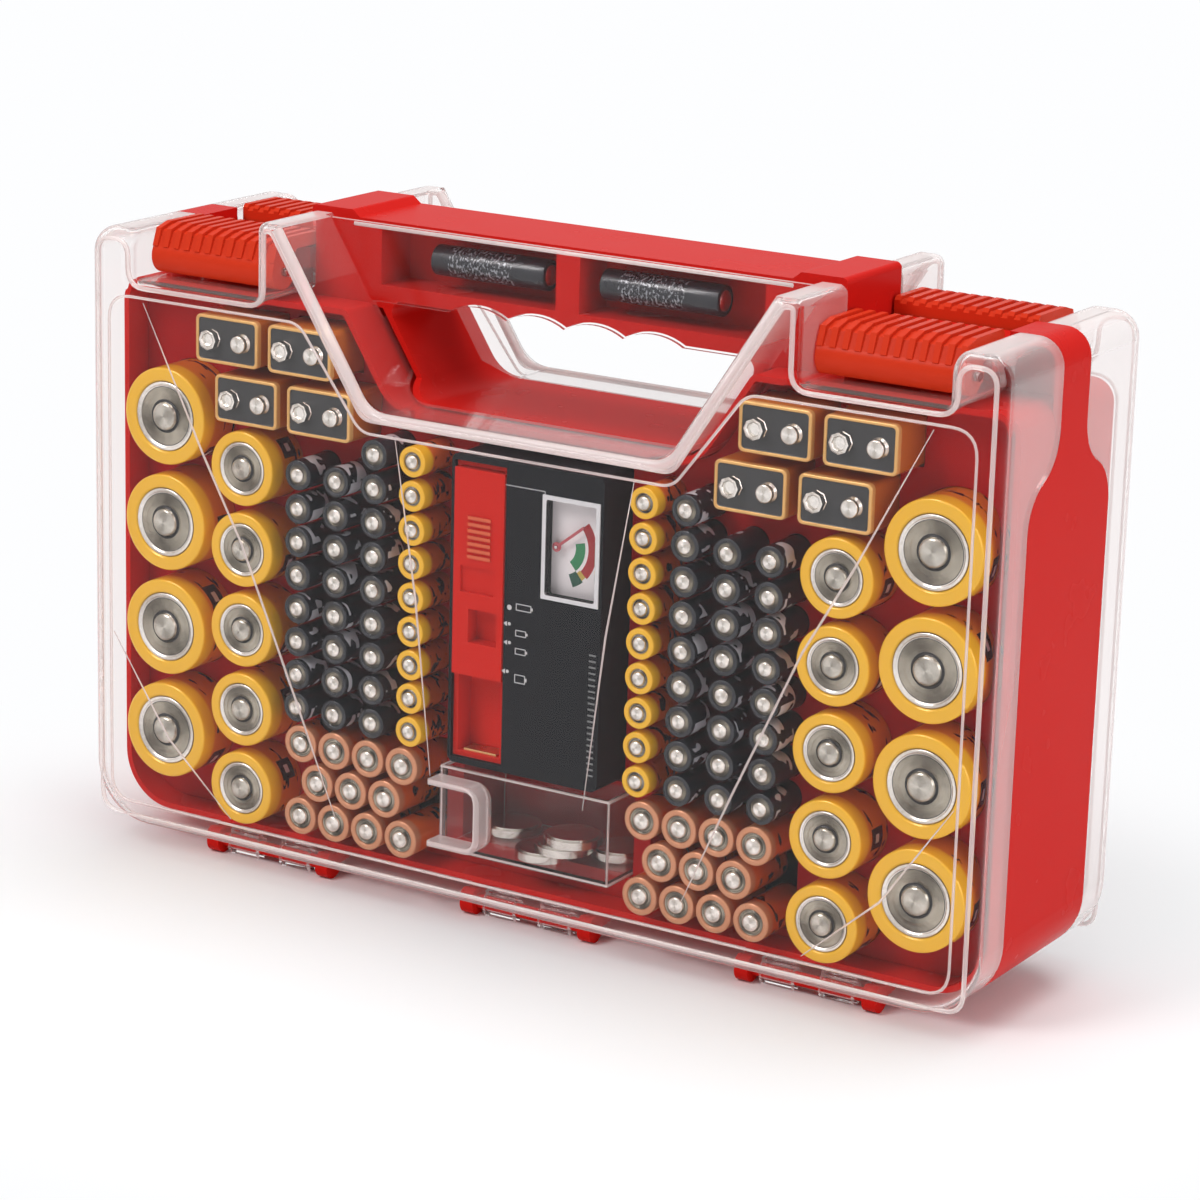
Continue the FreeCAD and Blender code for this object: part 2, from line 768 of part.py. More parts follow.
def run(low, high, least):
    """Evenly spaced values from low to high, as many as fit at the least pitch."""
    gaps = int((high - low) / least)
    return [low + (high - low) * i / gaps for i in range(gaps + 1)]


def d_places():
    low = tray_bottom + d_low_margin + well_edge + d_radius
    high = tray_top - d_top_margin - well_edge - d_radius
    return [(d_x, z) for z in run(low, high, 2.0 * d_radius + d_least_gap)]


def c_places():
    low = tray_bottom + c_low_margin + well_edge + c_radius
    high = nine_low_z - nine_height / 2.0 - 2.0 * socket_gap - c_top_wall - c_radius
    return [(c_x, z) for z in run(low, high, 2.0 * c_radius + c_least_gap)]


def insert_side():
    """Half width of the wells of the tester and the drawer."""
    return max(tester_half + tester_gap, drawer_half + drawer_gap) + well_wall


def aaa_low():
    return aa_high + aa_radius + 2.0 * socket_gap + aaa_bay_wall + aaa_radius


def slim_columns():
    """Columns of slim cells from the outside in, as lists of places; the last is the yellow one."""
    pitch_x = 2.0 * aaa_radius + aaa_column_gap
    least_x = insert_side() + insert_margin + well_edge + aaa_radius
    high = tray_notch - aaa_top_margin - well_edge - aaa_radius
    heights = run(aaa_low(), high, 2.0 * aaa_radius + aaa_least_gap)
    nine_left = notch_edge(nine_high_z) + nine_notch_gap - nine_low_shift - socket_gap
    columns = []
    for i in range(int((aaa_x - least_x) / pitch_x) + 1):
        x = aaa_x - i * pitch_x
        below_square = x + aaa_radius + socket_gap > nine_left
        columns.append([(x, z) for z in (heights[:-1] if below_square else heights)])
    return columns


def aa_columns():
    """Centres across the block of small round cells."""
    first = insert_side() + aa_side_gap + well_edge + aa_radius
    last = c_x - c_radius - 2.0 * well_edge - aa_radius
    return [first + i * aa_pitch for i in range(int((last - first) / aa_pitch) + 1)]


def aa_places():
    places = []
    for row in range(aa_rows):
        z = aa_low + row * aa_row_pitch
        if row % 2 == 0:
            places += [(x, z) for x in aa_columns()]
        else:
            places += [(x + aa_pitch / 2.0, z) for x in aa_columns()[:-1]]
    return places


def nine_places():
    """Centres of the square cells, top row then the lower one."""
    inner = notch_edge(nine_high_z) + nine_notch_gap + nine_width / 2.0
    room = d_x - d_radius - 2.0 * well_edge - (inner - nine_low_shift + nine_width / 2.0)
    count = int(room / nine_pitch_x) + 1
    top = [(inner + i * nine_pitch_x, nine_high_z) for i in range(count)]
    low = [(x - nine_low_shift, nine_low_z) for x, _ in top]
    return top + low


def both_sides(places):
    return places + [(-x, z) for x, z in places]


def upright_cells(places, radius, length):
    cell = round_cell(radius, length)
    cells = []
    for x, z in places:
        copy = cell.copy()
        copy.translate(V(x, -cell_front, z))
        cells.append(copy)
    return cells


def nine_volt(x, z):
    half_w = nine_width / 2.0
    half_h = nine_height / 2.0
    body = slab(rectangle(x - half_w, x + half_w, z - half_h, z + half_h, nine_radius),
                -cell_front, -cell_front + nine_length)
    snaps = [rod_y(snap_radius, -cell_front - snap_height, -cell_front, x + side * snap_spacing / 2.0, z)
             for side in (-1, 1)]
    return joined([body] + snaps)


def nine_volts():
    return [nine_volt(x, z) for x, z in both_sides(nine_places())]


def lying_cell(radius, length, x, y, z, turn):
    cell = round_cell(radius, length)
    cell.translate(V(0, -length / 2.0, 0))
    cell.rotate(V(0, 0, 0), V(0, 0, 1), turn)
    cell.translate(V(x, y, z))
    return cell


def back_places():
    first = -(back_columns - 1) * back_pitch_x / 2.0
    return [(first + i * back_pitch_x, back_first_z + j * back_pitch_z)
            for i in range(back_columns) for j in range(back_rows)]


def back_cells():
    y = panel_back + body_wall + tray_thick + aa_radius
    return [lying_cell(aa_radius, aa_length, x, y, z, 90) for x, z in back_places()]


def handle_cells(side):
    x, y = handle_cell_x, side * handle_cell_y
    return [lying_cell(aaa_radius, aaa_length, sign * x, y, handle_cell_z, -90)
            for sign in (-1, 1)]


# ---- trays ---------------------------------------------------------------------------------
def strip(places, radius, length):
    """One row of round wells behind the tray face."""
    reach = radius + socket_gap + well_wall
    x = places[0][0]
    low = min(z for _, z in places) - reach
    high = max(z for _, z in places) + reach
    outline = rectangle(x - reach, x + reach, low, high, radius * strip_share)
    holes = [circle_y(radius + socket_gap, px, pz) for px, pz in places]
    bottom = -cell_front + length
    start = -tray_front + tray_thick / 2.0
    return [slab(outline, start, bottom, holes), slab(outline, bottom, bottom + well_floor)]


def rect_well(x_low, x_high, z_low, z_high, bottom):
    wall = well_wall
    outer = rectangle(x_low - wall, x_high + wall, z_low - wall, z_high + wall, well_radius)
    inner = rectangle(x_low, x_high, z_low, z_high, socket_corner)
    start = -tray_front + tray_thick / 2.0
    return [slab(outer, start, bottom, [inner]), slab(outer, bottom, bottom + well_floor)]


def aa_bay():
    reach = aa_radius + socket_gap
    columns = aa_columns()
    return columns[0] - reach, columns[-1] + reach, aa_low - reach, aa_high + reach


def shared_sockets():
    """Space where the walls of the lowest slim sockets and of the cell bays meet."""
    start = -tray_front - lap
    lowest = both_sides([places[0] for places in slim_columns()])
    cutters = [rod_y(aaa_radius + socket_gap, start, -cell_front + aaa_length, x, z) for x, z in lowest]
    x_low, x_high, z_low, z_high = aa_bay()
    bay = box(x_low, x_high, start, -cell_front + aa_length, z_low, z_high)
    return cutters + [bay, to_left(bay)]


def front_tray():
    outline = core_outline(body_wall + tray_edge_gap)
    holes = []
    wells = []
    columns = [(d_places(), d_radius, d_length), (c_places(), c_radius, c_length)]
    columns += [(places, aaa_radius, aaa_length) for places in slim_columns()]
    for places, radius, length in columns:
        holes += [circle_y(radius + socket_gap, x, z) for x, z in both_sides(places)]
        wells += strip(places, radius, length)
        wells += strip([(-x, z) for x, z in places], radius, length)
    rectangles = []
    for x, z in nine_places():
        half_w = nine_width / 2.0 + socket_gap
        half_h = nine_height / 2.0 + socket_gap
        rectangles.append((x - half_w, x + half_w, z - half_h, z + half_h, -cell_front + nine_length))
    x_low, x_high, z_low, z_high = aa_bay()
    rectangles.append((x_low, x_high, z_low, z_high, -cell_front + aa_length))
    for x_low, x_high, z_low, z_high, bottom in rectangles:
        for low, high in ((x_low, x_high), (-x_high, -x_low)):
            holes.append(rectangle(low, high, z_low, z_high, socket_corner))
            wells += rect_well(low, high, z_low, z_high, bottom)
    tester = (-tester_half - tester_gap, tester_half + tester_gap,
              tester_low - tester_gap, tester_high + tester_gap)
    holes.append(rectangle(*tester, socket_corner))
    wells += rect_well(*tester, -tester_front + tester_depth + cover_thick)
    drawer = (-drawer_half - drawer_gap, drawer_half + drawer_gap,
              drawer_low - drawer_gap, drawer_high + drawer_gap)
    holes.append(rectangle(*drawer, socket_corner))
    wells += rect_well(*drawer, -drawer_front + drawer_depth + drawer_gap)
    face = slab(outline, -tray_front, -tray_front + tray_thick, holes)
    return joined([face] + wells).cut(shared_sockets())


def tray_panels():
    """The front tray as its left, middle and right panels, which meet between the wells."""
    whole = front_tray()
    seam = insert_side() + insert_margin / 2.0
    limits = whole.BoundBox
    far = limits.XMax + lap
    panels = []
    for low, high in ((-far, -seam), (-seam, seam), (seam, far)):
        panels.append(whole.common(box(low, high, limits.YMin - lap, limits.YMax + lap,
                                       limits.ZMin - lap, limits.ZMax + lap)))
    return panels


def back_tray():
    outline = core_outline(body_wall + tray_edge_gap)
    start = panel_back + body_wall
    plate = slab(outline, start, start + tray_thick)
    floor = start + tray_thick
    height = aa_radius * back_rib_share
    low = back_first_z - back_pitch_z / 2.0 + ridge_width / 2.0
    high = back_first_z + (back_rows - 0.5) * back_pitch_z
    ribs = [plate]
    half_rib = back_rib / 2.0
    for i in range(back_columns + 1):
        x = (i - back_columns / 2.0) * back_pitch_x
        ribs.append(box(x - half_rib, x + half_rib, start, floor + height, low, high))
    span = back_columns * back_pitch_x / 2.0
    half_ridge = ridge_width / 2.0
    ridge_height = aa_radius * ridge_share
    for j in range(back_rows - 1):
        z = back_first_z + (j + 0.5) * back_pitch_z
        ribs.append(box(-span, span, start, floor + ridge_height, z - half_ridge, z + half_ridge))
    return joined(ribs).common(slab(outline, start, floor + height))


# ---- coin drawer ---------------------------------------------------------------------------
def coin_drawer():
    y_front = -drawer_front
    y_back = y_front + drawer_depth
    outer = box(-drawer_half, drawer_half, y_front, y_back, drawer_low, drawer_high)
    wall = drawer_wall
    inner = box(-drawer_half + wall, drawer_half - wall, y_front + wall, y_back - wall,
                drawer_low + wall, drawer_high + lap)
    low = drawer_low + pull_inset
    high = drawer_high - pull_inset
    right = pull_width - drawer_half
    y_start = y_front - pull_depth
    y_end = y_front + wall / 2.0
    around = rectangle(-drawer_half - 2.0 * pull_round, right, low, high, pull_round)
    within = rectangle(-drawer_half - 2.0 * pull_round + pull_thick, right - pull_thick, low + pull_thick,
                       high - pull_thick, pull_round - pull_thick)
    strap = slab(around, y_start, y_end, [within])
    strap = strap.common(box(-drawer_half, right + lap, y_start - lap, y_end + lap, low - lap, high + lap))
    return joined([outer.cut(inner)] + strap.Solids)


def coin_places():
    """Two coin cells on the floor behind, one in front, and two more stacked on that one."""
    side = drawer_half - drawer_wall - coin_radius - lap / 2.0
    front = -drawer_front + drawer_wall + coin_radius + lap / 2.0
    back = drawer_depth - drawer_front - drawer_wall - coin_radius - lap / 2.0
    near = side - 2.0 * coin_radius
    return [(-side, back, 0), (side, back, 0), (near, front, 0), (near + 0.7 * coin_radius, front + lap, 1),
            (near + coin_radius, front + 2.0 * lap, 2)]


def coin_cells():
    coins = []
    for x, y, layer in coin_places():
        z = drawer_low + drawer_wall + layer * coin_thick
        step = coin_thick - coin_step
        can = Part.makeCylinder(coin_radius, step, V(x, y, z))
        cap = Part.makeCylinder(coin_radius - coin_rim, coin_step, V(x, y, z + step))
        coins.append(can.fuse(cap).removeSplitter())
    return coins


# ---- tester --------------------------------------------------------------------------------
def meter_rectangle(extra=0.0):
    half_w = meter_width / 2.0 + extra
    half_h = meter_height / 2.0 + extra
    return rectangle(meter_x - half_w, meter_x + half_w, meter_z - half_h, meter_z + half_h, meter_radius)


def tester_outline():
    return rectangle(-tester_half, tester_half, tester_low, tester_high, tester_radius)


def tester_housing():
    y_front = -tester_front
    y_back = y_front + tester_depth
    body = slab(tester_outline(), y_front, y_back)
    pocket = box(trough_left, trough_right, y_front - lap, y_front + trough_depth, trough_low, trough_high)
    wall = tester_wall
    right = box(trough_right + wall, tester_half - wall, y_front + wall, y_back + lap,
                tester_low + wall, tester_high - wall)
    left = box(-tester_half + wall, trough_right + wall, y_front + trough_depth + wall, y_back + lap,
               tester_low + wall, tester_high - wall)
    window = slab(meter_rectangle(), y_front - lap, y_front + wall + lap)
    return body.cut([pocket, right, left, window]).removeSplitter()


def tester_cover():
    y = -tester_front + tester_depth
    return slab(tester_outline(), y, y + cover_thick)


def tester_trough():
    y_front = -tester_front + slide_lip
    y_back = -tester_front + trough_depth
    block = box(trough_left, trough_right, y_front, y_back, trough_low, trough_high)
    wall = trough_wall
    channel = box(trough_left + wall, trough_right - wall, y_front - lap, y_back - wall,
                  trough_low + wall, trough_high - wall)
    return block.cut(channel)


def tester_slide():
    """Red slide: a tongue in the channel and a face plate over its edges."""
    wall = trough_wall + slide_gap
    face_y = -tester_front - slide_proud
    lip_back = -tester_front + slide_lip - slide_gap
    tongue = box(trough_left + wall, trough_right - wall, face_y,
                 -tester_front + trough_depth - wall, slide_low, slide_high)
    plate = box(trough_left + slide_gap, trough_right - slide_gap, face_y, lip_back, slide_low, slide_high)
    parts = [tongue, plate]
    rib_x = trough_left + grip_rib_inset
    for i in range(grip_rib_count):
        z = slide_high - grip_rib_drop + i * grip_rib_pitch
        parts.append(box(rib_x, rib_x + grip_rib_length, face_y - grip_rib_height, lip_back,
                         z, z + grip_rib_width))
    recess = box(trough_left + slide_recess_left, trough_right - slide_recess_right,
                 face_y - lap, face_y + slide_recess_depth,
                 slide_high - slide_recess_low, slide_high - slide_recess_high)
    thumb = box(trough_left + thumb_left, trough_right - thumb_right, face_y - lap, face_y + thumb_depth,
                slide_high - thumb_low, slide_high - thumb_high)
    return joined(parts).cut([recess, thumb])


def slide_contact():
    y = -tester_front + slide_lip + slide_contact_inset
    wall = trough_wall + slide_gap + contact_side_gap
    return box(trough_left + wall, trough_right - wall, y, y + slide_contact_height,
               slide_low - contact_thick, slide_low)


def trough_contact():
    y = -tester_front + slide_lip + trough_contact_inset
    wall = trough_wall + slide_gap + contact_side_gap
    z = trough_low + trough_wall
    return box(trough_left + wall, trough_right - wall, y, y + trough_contact_height, z, z + contact_thick)


def meter_lens():
    y = -tester_front - lens_proud
    return slab(meter_rectangle(), y, y + lens_thick)


def meter_dial():
    y = -tester_front + dial_back
    return slab(meter_rectangle(dial_margin), y, y + dial_thick)


def needle_pivot_x():
    return meter_x - meter_width / 2.0 + needle_pivot_inset


def meter_needle():
    x = needle_pivot_x()
    y = -tester_front + dial_back - needle_lift
    hub = rod_y(needle_hub, y, y + needle_thick, x, meter_z)
    pointer = box(x, x + needle_length, y, y + needle_thick, meter_z - needle_width / 2.0,
                  meter_z + needle_width / 2.0)
    needle = hub.fuse(pointer)
    needle.rotate(V(x, y, meter_z), V(0, 1, 0), -needle_angle)
    bore = rod_y(needle_bore, y - lap, y + lap, x, meter_z)
    return needle.cut(bore).removeSplitter()


def meter_pivot():
    y = -tester_front + dial_back
    return rod_y(pivot_radius, y - pivot_reach, y, needle_pivot_x(), meter_z)


def meter_coil():
    y = -tester_front + dial_back + dial_thick
    return rod_y(coil_radius, y, y + coil_depth, meter_x - coil_shift, meter_z)


def tester_board():
    y = -tester_front + tester_depth - board_thick - board_inset
    z = tester_low + board_drop
    return box(trough_right + board_margin, tester_half - board_margin, y, y + board_thick,
               z, z + board_height)


# ---- write the pieces ----------------------------------------------------------------------
os.makedirs("parts", exist_ok=True)

save("case_shell", case_shell())
left_panel, middle_panel, right_panel = tray_panels()
save("front_tray_left", left_panel)
save("front_tray_middle", middle_panel)
save("front_tray_right", right_panel)
save("back_tray", back_tray())
save("front_hinge_rods", hinge_rods())
save("back_hinge_rods", [to_back(rod) for rod in hinge_rods()])

lid = front_lid()
save("front_lid", lid)
save("back_lid", to_back(lid))

right_latch = latch()
right_pin = latch_pin()
save("front_right_latch", right_latch)
save("front_left_latch", to_left(right_latch))
save("back_right_latch", to_back(right_latch))
save("back_left_latch", to_back(to_left(right_latch)))
save("front_right_latch_pin", right_pin)
save("front_left_latch_pin", to_left(right_pin))
save("back_right_latch_pin", to_back(right_pin))
save("back_left_latch_pin", to_back(to_left(right_pin)))

slim = slim_columns()
black = [place for places in slim[:-1] for place in places]
save("d_cells", upright_cells(both_sides(d_places()), d_radius, d_length))
save("c_cells", upright_cells(both_sides(c_places()), c_radius, c_length))
save("aaa_yellow_cells", upright_cells(both_sides(slim[-1]), aaa_radius, aaa_length))
save("aaa_black_cells", upright_cells(both_sides(black), aaa_radius, aaa_length))
save("aa_front_cells", upright_cells(both_sides(aa_places()), aa_radius, aa_length))
save("nine_volt_cells", nine_volts())
save("aa_back_cells", back_cells())
save("grip_front_cells", handle_cells(-1))
save("grip_back_cells", handle_cells(1))

save("coin_drawer", coin_drawer())
save("coin_cells", coin_cells())

save("tester_housing", tester_housing())
save("tester_cover", tester_cover())
save("tester_trough", tester_trough())
save("tester_trough_contact", trough_contact())
save("tester_slide", tester_slide())
save("tester_slide_contact", slide_contact())
save("meter_lens", meter_lens())
save("meter_dial", meter_dial())
save("meter_needle", meter_needle())
save("meter_pivot", meter_pivot())
save("meter_coil", meter_coil())
save("tester_board", tester_board())
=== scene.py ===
import bpy
import bmesh
import json
import math
import random
from mathutils import Matrix, Vector

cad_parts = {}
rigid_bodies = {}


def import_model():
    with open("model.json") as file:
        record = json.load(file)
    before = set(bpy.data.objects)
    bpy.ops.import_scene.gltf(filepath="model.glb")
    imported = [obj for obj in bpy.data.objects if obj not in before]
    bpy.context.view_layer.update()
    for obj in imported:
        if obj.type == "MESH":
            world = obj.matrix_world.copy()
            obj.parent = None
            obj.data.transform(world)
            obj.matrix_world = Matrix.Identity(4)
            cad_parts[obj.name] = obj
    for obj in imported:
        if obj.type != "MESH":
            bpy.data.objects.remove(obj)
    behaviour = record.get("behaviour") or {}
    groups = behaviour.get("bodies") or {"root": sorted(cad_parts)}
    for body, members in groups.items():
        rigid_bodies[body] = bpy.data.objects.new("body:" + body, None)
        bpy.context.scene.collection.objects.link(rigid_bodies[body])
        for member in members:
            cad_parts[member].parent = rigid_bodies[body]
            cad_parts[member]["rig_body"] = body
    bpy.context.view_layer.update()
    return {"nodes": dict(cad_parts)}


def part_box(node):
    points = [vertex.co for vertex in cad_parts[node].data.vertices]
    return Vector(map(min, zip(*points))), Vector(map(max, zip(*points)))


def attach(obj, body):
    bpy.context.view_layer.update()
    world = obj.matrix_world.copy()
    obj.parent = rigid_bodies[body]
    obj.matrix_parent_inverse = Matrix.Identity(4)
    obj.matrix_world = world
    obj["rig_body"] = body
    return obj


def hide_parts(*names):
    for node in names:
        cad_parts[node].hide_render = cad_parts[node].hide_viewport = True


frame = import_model()
nodes = frame["nodes"]
mm = 0.001


# camera
view = {
    "place": (0.6647, -1.0765, 0.4608),
    "right": (0.848, 0.529, 0.027),
    "up": (-0.1646, 0.2146, 0.9627),
    "lens": 117.16,
    "sensor": 36.0,
    "far": 20.0,
}


def makeCamera():
    data = bpy.data.cameras.new("studioCamera")
    data.lens = view["lens"]
    data.sensor_width = view["sensor"]
    data.clip_end = view["far"]
    camera = bpy.data.objects.new("studioCamera", data)
    bpy.context.scene.collection.objects.link(camera)
    right = Vector(view["right"]).normalized()
    back = right.cross(Vector(view["up"])).normalized()
    up = back.cross(right)
    turn = Matrix((right, up, back)).transposed().to_4x4()
    camera.matrix_world = Matrix.Translation(Vector(view["place"])) @ turn
    bpy.context.scene.camera = camera


# a short way to write a material's nodes
class Shader:
    def __init__(self, name):
        self.material = bpy.data.materials.new(name)
        self.material.use_nodes = True
        self.tree = self.material.node_tree
        self.tree.nodes.clear()
        self.output = self.node("ShaderNodeOutputMaterial")

    def node(self, kind, **settings):
        made = self.tree.nodes.new(kind)
        for key, value in settings.items():
            setattr(made, key, value)
        return made

    def link(self, a, b):
        self.tree.links.new(a, b)

    def principled(self, **values):
        made = self.node("ShaderNodeBsdfPrincipled")
        for key, value in values.items():
            made.inputs[key.replace("_", " ")].default_value = value
        return made

    def noise(self, vector, scale, detail=2.0, rough=0.5):
        made = self.node("ShaderNodeTexNoise")
        made.inputs["Scale"].default_value = scale
        made.inputs["Detail"].default_value = detail
        made.inputs["Roughness"].default_value = rough
        if vector is not None:
            self.link(vector, made.inputs["Vector"])
        return made.outputs["Fac"]

    def ramp(self, value, stops):
        made = self.node("ShaderNodeValToRGB")
        band = made.color_ramp
        while len(band.elements) < len(stops):
            band.elements.new(0.5)
        for element, (place, colour) in zip(band.elements, stops):
            element.position = place
            element.color = colour if len(colour) == 4 else (*colour, 1.0)
        self.link(value, made.inputs["Fac"])
        return made.outputs["Color"]

    def mix(self, factor, a, b):
        made = self.node("ShaderNodeMix", data_type="RGBA")
        for socket, value in ((made.inputs["Factor"], factor), (made.inputs["A"], a), (made.inputs["B"], b)):
            if isinstance(value, bpy.types.NodeSocket):
                self.link(value, socket)
            elif isinstance(value, (int, float)):
                socket.default_value = value
            else:
                socket.default_value = (*value, 1.0)
        return made.outputs["Result"]

    def maths(self, operation, a, b=0.0):
        made = self.node("ShaderNodeMath", operation=operation)
        for socket, value in ((made.inputs[0], a), (made.inputs[1], b)):
            if isinstance(value, bpy.types.NodeSocket):
                self.link(value, socket)
            else:
                socket.default_value = value
        return made.outputs[0]

    def bump(self, height, distance, strength=1.0):
        made = self.node("ShaderNodeBump")
        made.inputs["Distance"].default_value = distance
        made.inputs["Strength"].default_value = strength
        self.link(height, made.inputs["Height"])
        return made.outputs["Normal"]

    def place(self):
        return self.node("ShaderNodeTexCoord").outputs["Object"]

    def finish(self, shader):
        self.link(shader, self.output.inputs["Surface"])
        return self.material


# plastics
plastics = {
    "caseRed": {"colour": (0.62, 0.014, 0.010), "dark": (0.52, 0.010, 0.008), "rough": 0.26, "gloss": 0.03,
                "grain": 0.10},
    # the trays' red is darker than the case's: painted shade for trays that sit deep in the case behind the
    # lids
    "trayShadedRed": {"colour": (0.46, 0.008, 0.009), "dark": (0.36, 0.006, 0.007), "rough": 0.34, "gloss": 0.04,
                "grain": 0.08},
    "latchRed": {"colour": (0.66, 0.042, 0.014), "dark": (0.52, 0.028, 0.010), "rough": 0.26, "gloss": 0.06,
                 "grain": 0.08},
    "slideRed": {"colour": (0.66, 0.018, 0.010), "dark": (0.58, 0.014, 0.008), "rough": 0.34, "gloss": 0.04,
                 "grain": 0.0},
    "testerBlack": {"colour": (0.012, 0.013, 0.016), "dark": (0.008, 0.009, 0.011), "rough": 0.46,
                    "gloss": 0.12, "grain": 0.0},
    "boardGreen": {"colour": (0.02, 0.16, 0.06), "dark": (0.01, 0.08, 0.03), "rough": 0.45, "gloss": 0.4,
                   "grain": 0.1},
    "dialWhite": {"colour": (0.97, 0.97, 0.98), "dark": (0.94, 0.94, 0.95), "rough": 0.5, "gloss": 0.3,
                  "grain": 0.0},
}
plasticLook = {
    "cloudScale": 30.0, "cloudShare": 0.72, "index": 1.49, "smoother": 0.03, "rougher": 0.04,
    "smearScale": 60.0, "grainScale": 1800.0, "grainDepth": 0.02 * mm,
}


def makePlastic(name):
    values, look = plastics[name], plasticLook
    s = Shader(name)
    place = s.place()
    cloud = s.noise(place, look["cloudScale"], 3.0)
    base = s.mix(cloud, values["dark"], values["colour"])
    tint = s.mix(look["cloudShare"], base, values["colour"])
    shader = s.principled(Specular_IOR_Level=values["gloss"], IOR=look["index"])
    s.link(tint, shader.inputs["Base Color"])
    rough = s.node("ShaderNodeMapRange")
    rough.inputs["To Min"].default_value = values["rough"] - look["smoother"]
    rough.inputs["To Max"].default_value = values["rough"] + look["rougher"]
    s.link(s.noise(place, look["smearScale"], 2.0), rough.inputs["Value"])
    s.link(rough.outputs["Result"], shader.inputs["Roughness"])
    if values["grain"]:
        grain = s.noise(place, look["grainScale"], 2.0)
        s.link(s.bump(grain, look["grainDepth"], values["grain"]), shader.inputs["Normal"])
    return s.finish(shader.outputs["BSDF"])


# clear mouldings: glass, with the milky look of their edges where they are seen at a slant
clearLook = {
    "rough": 0.015, "index": 1.22,
    "rippleScale": 14.0, "rippleDepth": 0.5 * mm, "rippleStrength": 0.2,
    # the edge colour is pink: the red of the case seen in the clear edges, painted in
    "edge": (0.95, 0.84, 0.82), "edgeRough": 0.15, "edgeIndex": 1.45,
    "slant": 0.35, "milkFrom": 0.20, "milkTo": 0.72,
    "flatShare": 0.85, "flatTop": 212.0 * mm,  # level walls under the shoulders stay clear
    "through": (0.96, 0.94, 0.94),
}
clears = {
    "clear": {"tint": (0.985, 0.965, 0.96), "haze": 0.6},
    "drawerClear": {"tint": (0.99, 0.98, 0.98), "haze": 0.30, "pull": {"depth": -37.8 * mm, "milk": 0.36}},
    "lensClear": {"tint": (1.0, 1.0, 1.0), "haze": 0.04},
    # the ridge and rim looks keep a floor of milk, whitish all over: painted highlight on the beads that use
    # them
    "clearRidgeHighlight": {"tint": (1.0, 0.98, 0.97), "haze": 0.8, "paintedHighlightMilk": 0.40},
    "clearRimHighlight": {"tint": (1.0, 0.98, 0.97), "haze": 0.9, "paintedHighlightMilk": 0.55},
}


def makeClear(name, tint, haze, paintedHighlightMilk=0.0, pull=None):
    look = clearLook
    s = Shader(name)
    shader = s.principled(Transmission_Weight=1.0, Roughness=look["rough"], IOR=look["index"])
    shader.inputs["Base Color"].default_value = (*tint, 1.0)
    ripple = s.noise(s.place(), look["rippleScale"], 1.0)
    normal = s.bump(ripple, look["rippleDepth"], look["rippleStrength"])
    s.link(normal, shader.inputs["Normal"])
    edge = s.principled(Roughness=look["edgeRough"], IOR=look["edgeIndex"])
    edge.inputs["Base Color"].default_value = (*look["edge"], 1.0)
    slant = s.node("ShaderNodeLayerWeight")
    slant.inputs["Blend"].default_value = look["slant"]
    slope = s.node("ShaderNodeMapRange", interpolation_type="SMOOTHSTEP")
    slope.inputs["From Min"].default_value = look["milkFrom"]
    slope.inputs["From Max"].default_value = look["milkTo"]
    s.link(slant.outputs["Facing"], slope.inputs["Value"])
    where = s.node("ShaderNodeTexCoord")
    tilt = s.node("ShaderNodeSeparateXYZ")
    s.link(where.outputs["Normal"], tilt.inputs["Vector"])
    height = s.node("ShaderNodeSeparateXYZ")
    s.link(where.outputs["Object"], height.inputs["Vector"])
    level = s.maths("MULTIPLY", s.maths("ABSOLUTE", tilt.outputs["Z"]), look["flatShare"])
    level = s.maths("MULTIPLY", level, s.maths("LESS_THAN", height.outputs["Z"], look["flatTop"]))
    milk = s.maths("MULTIPLY", slope.outputs["Result"], s.maths("SUBTRACT", 1.0, level))
    # the floor on the milk paints beads whitish all over, a painted highlight
    milk = s.maths("MAXIMUM", s.maths("MULTIPLY", milk, haze), paintedHighlightMilk)
    if pull:  # the drawer's pull is thick and is made whiter than its walls, a painted highlight
        before = s.maths("LESS_THAN", height.outputs["Y"], pull["depth"])
        milk = s.maths("MAXIMUM", milk, s.maths("MULTIPLY", before, pull["milk"]))
    body = s.node("ShaderNodeMixShader")
    s.link(milk, body.inputs["Fac"])
    s.link(shader.outputs["BSDF"], body.inputs[1])
    s.link(edge.outputs["BSDF"], body.inputs[2])
    through = s.node("ShaderNodeBsdfTransparent")
    through.inputs["Color"].default_value = (*look["through"], 1.0)
    path = s.node("ShaderNodeLightPath")
    shader = body
    for ray in ("Is Shadow Ray", "Is Diffuse Ray"):
        both = s.node("ShaderNodeMixShader")
        s.link(path.outputs[ray], both.inputs["Fac"])
        s.link(shader.outputs[0], both.inputs[1])
        s.link(through.outputs["BSDF"], both.inputs[2])
        shader = both
    return s.finish(shader.outputs["Shader"])


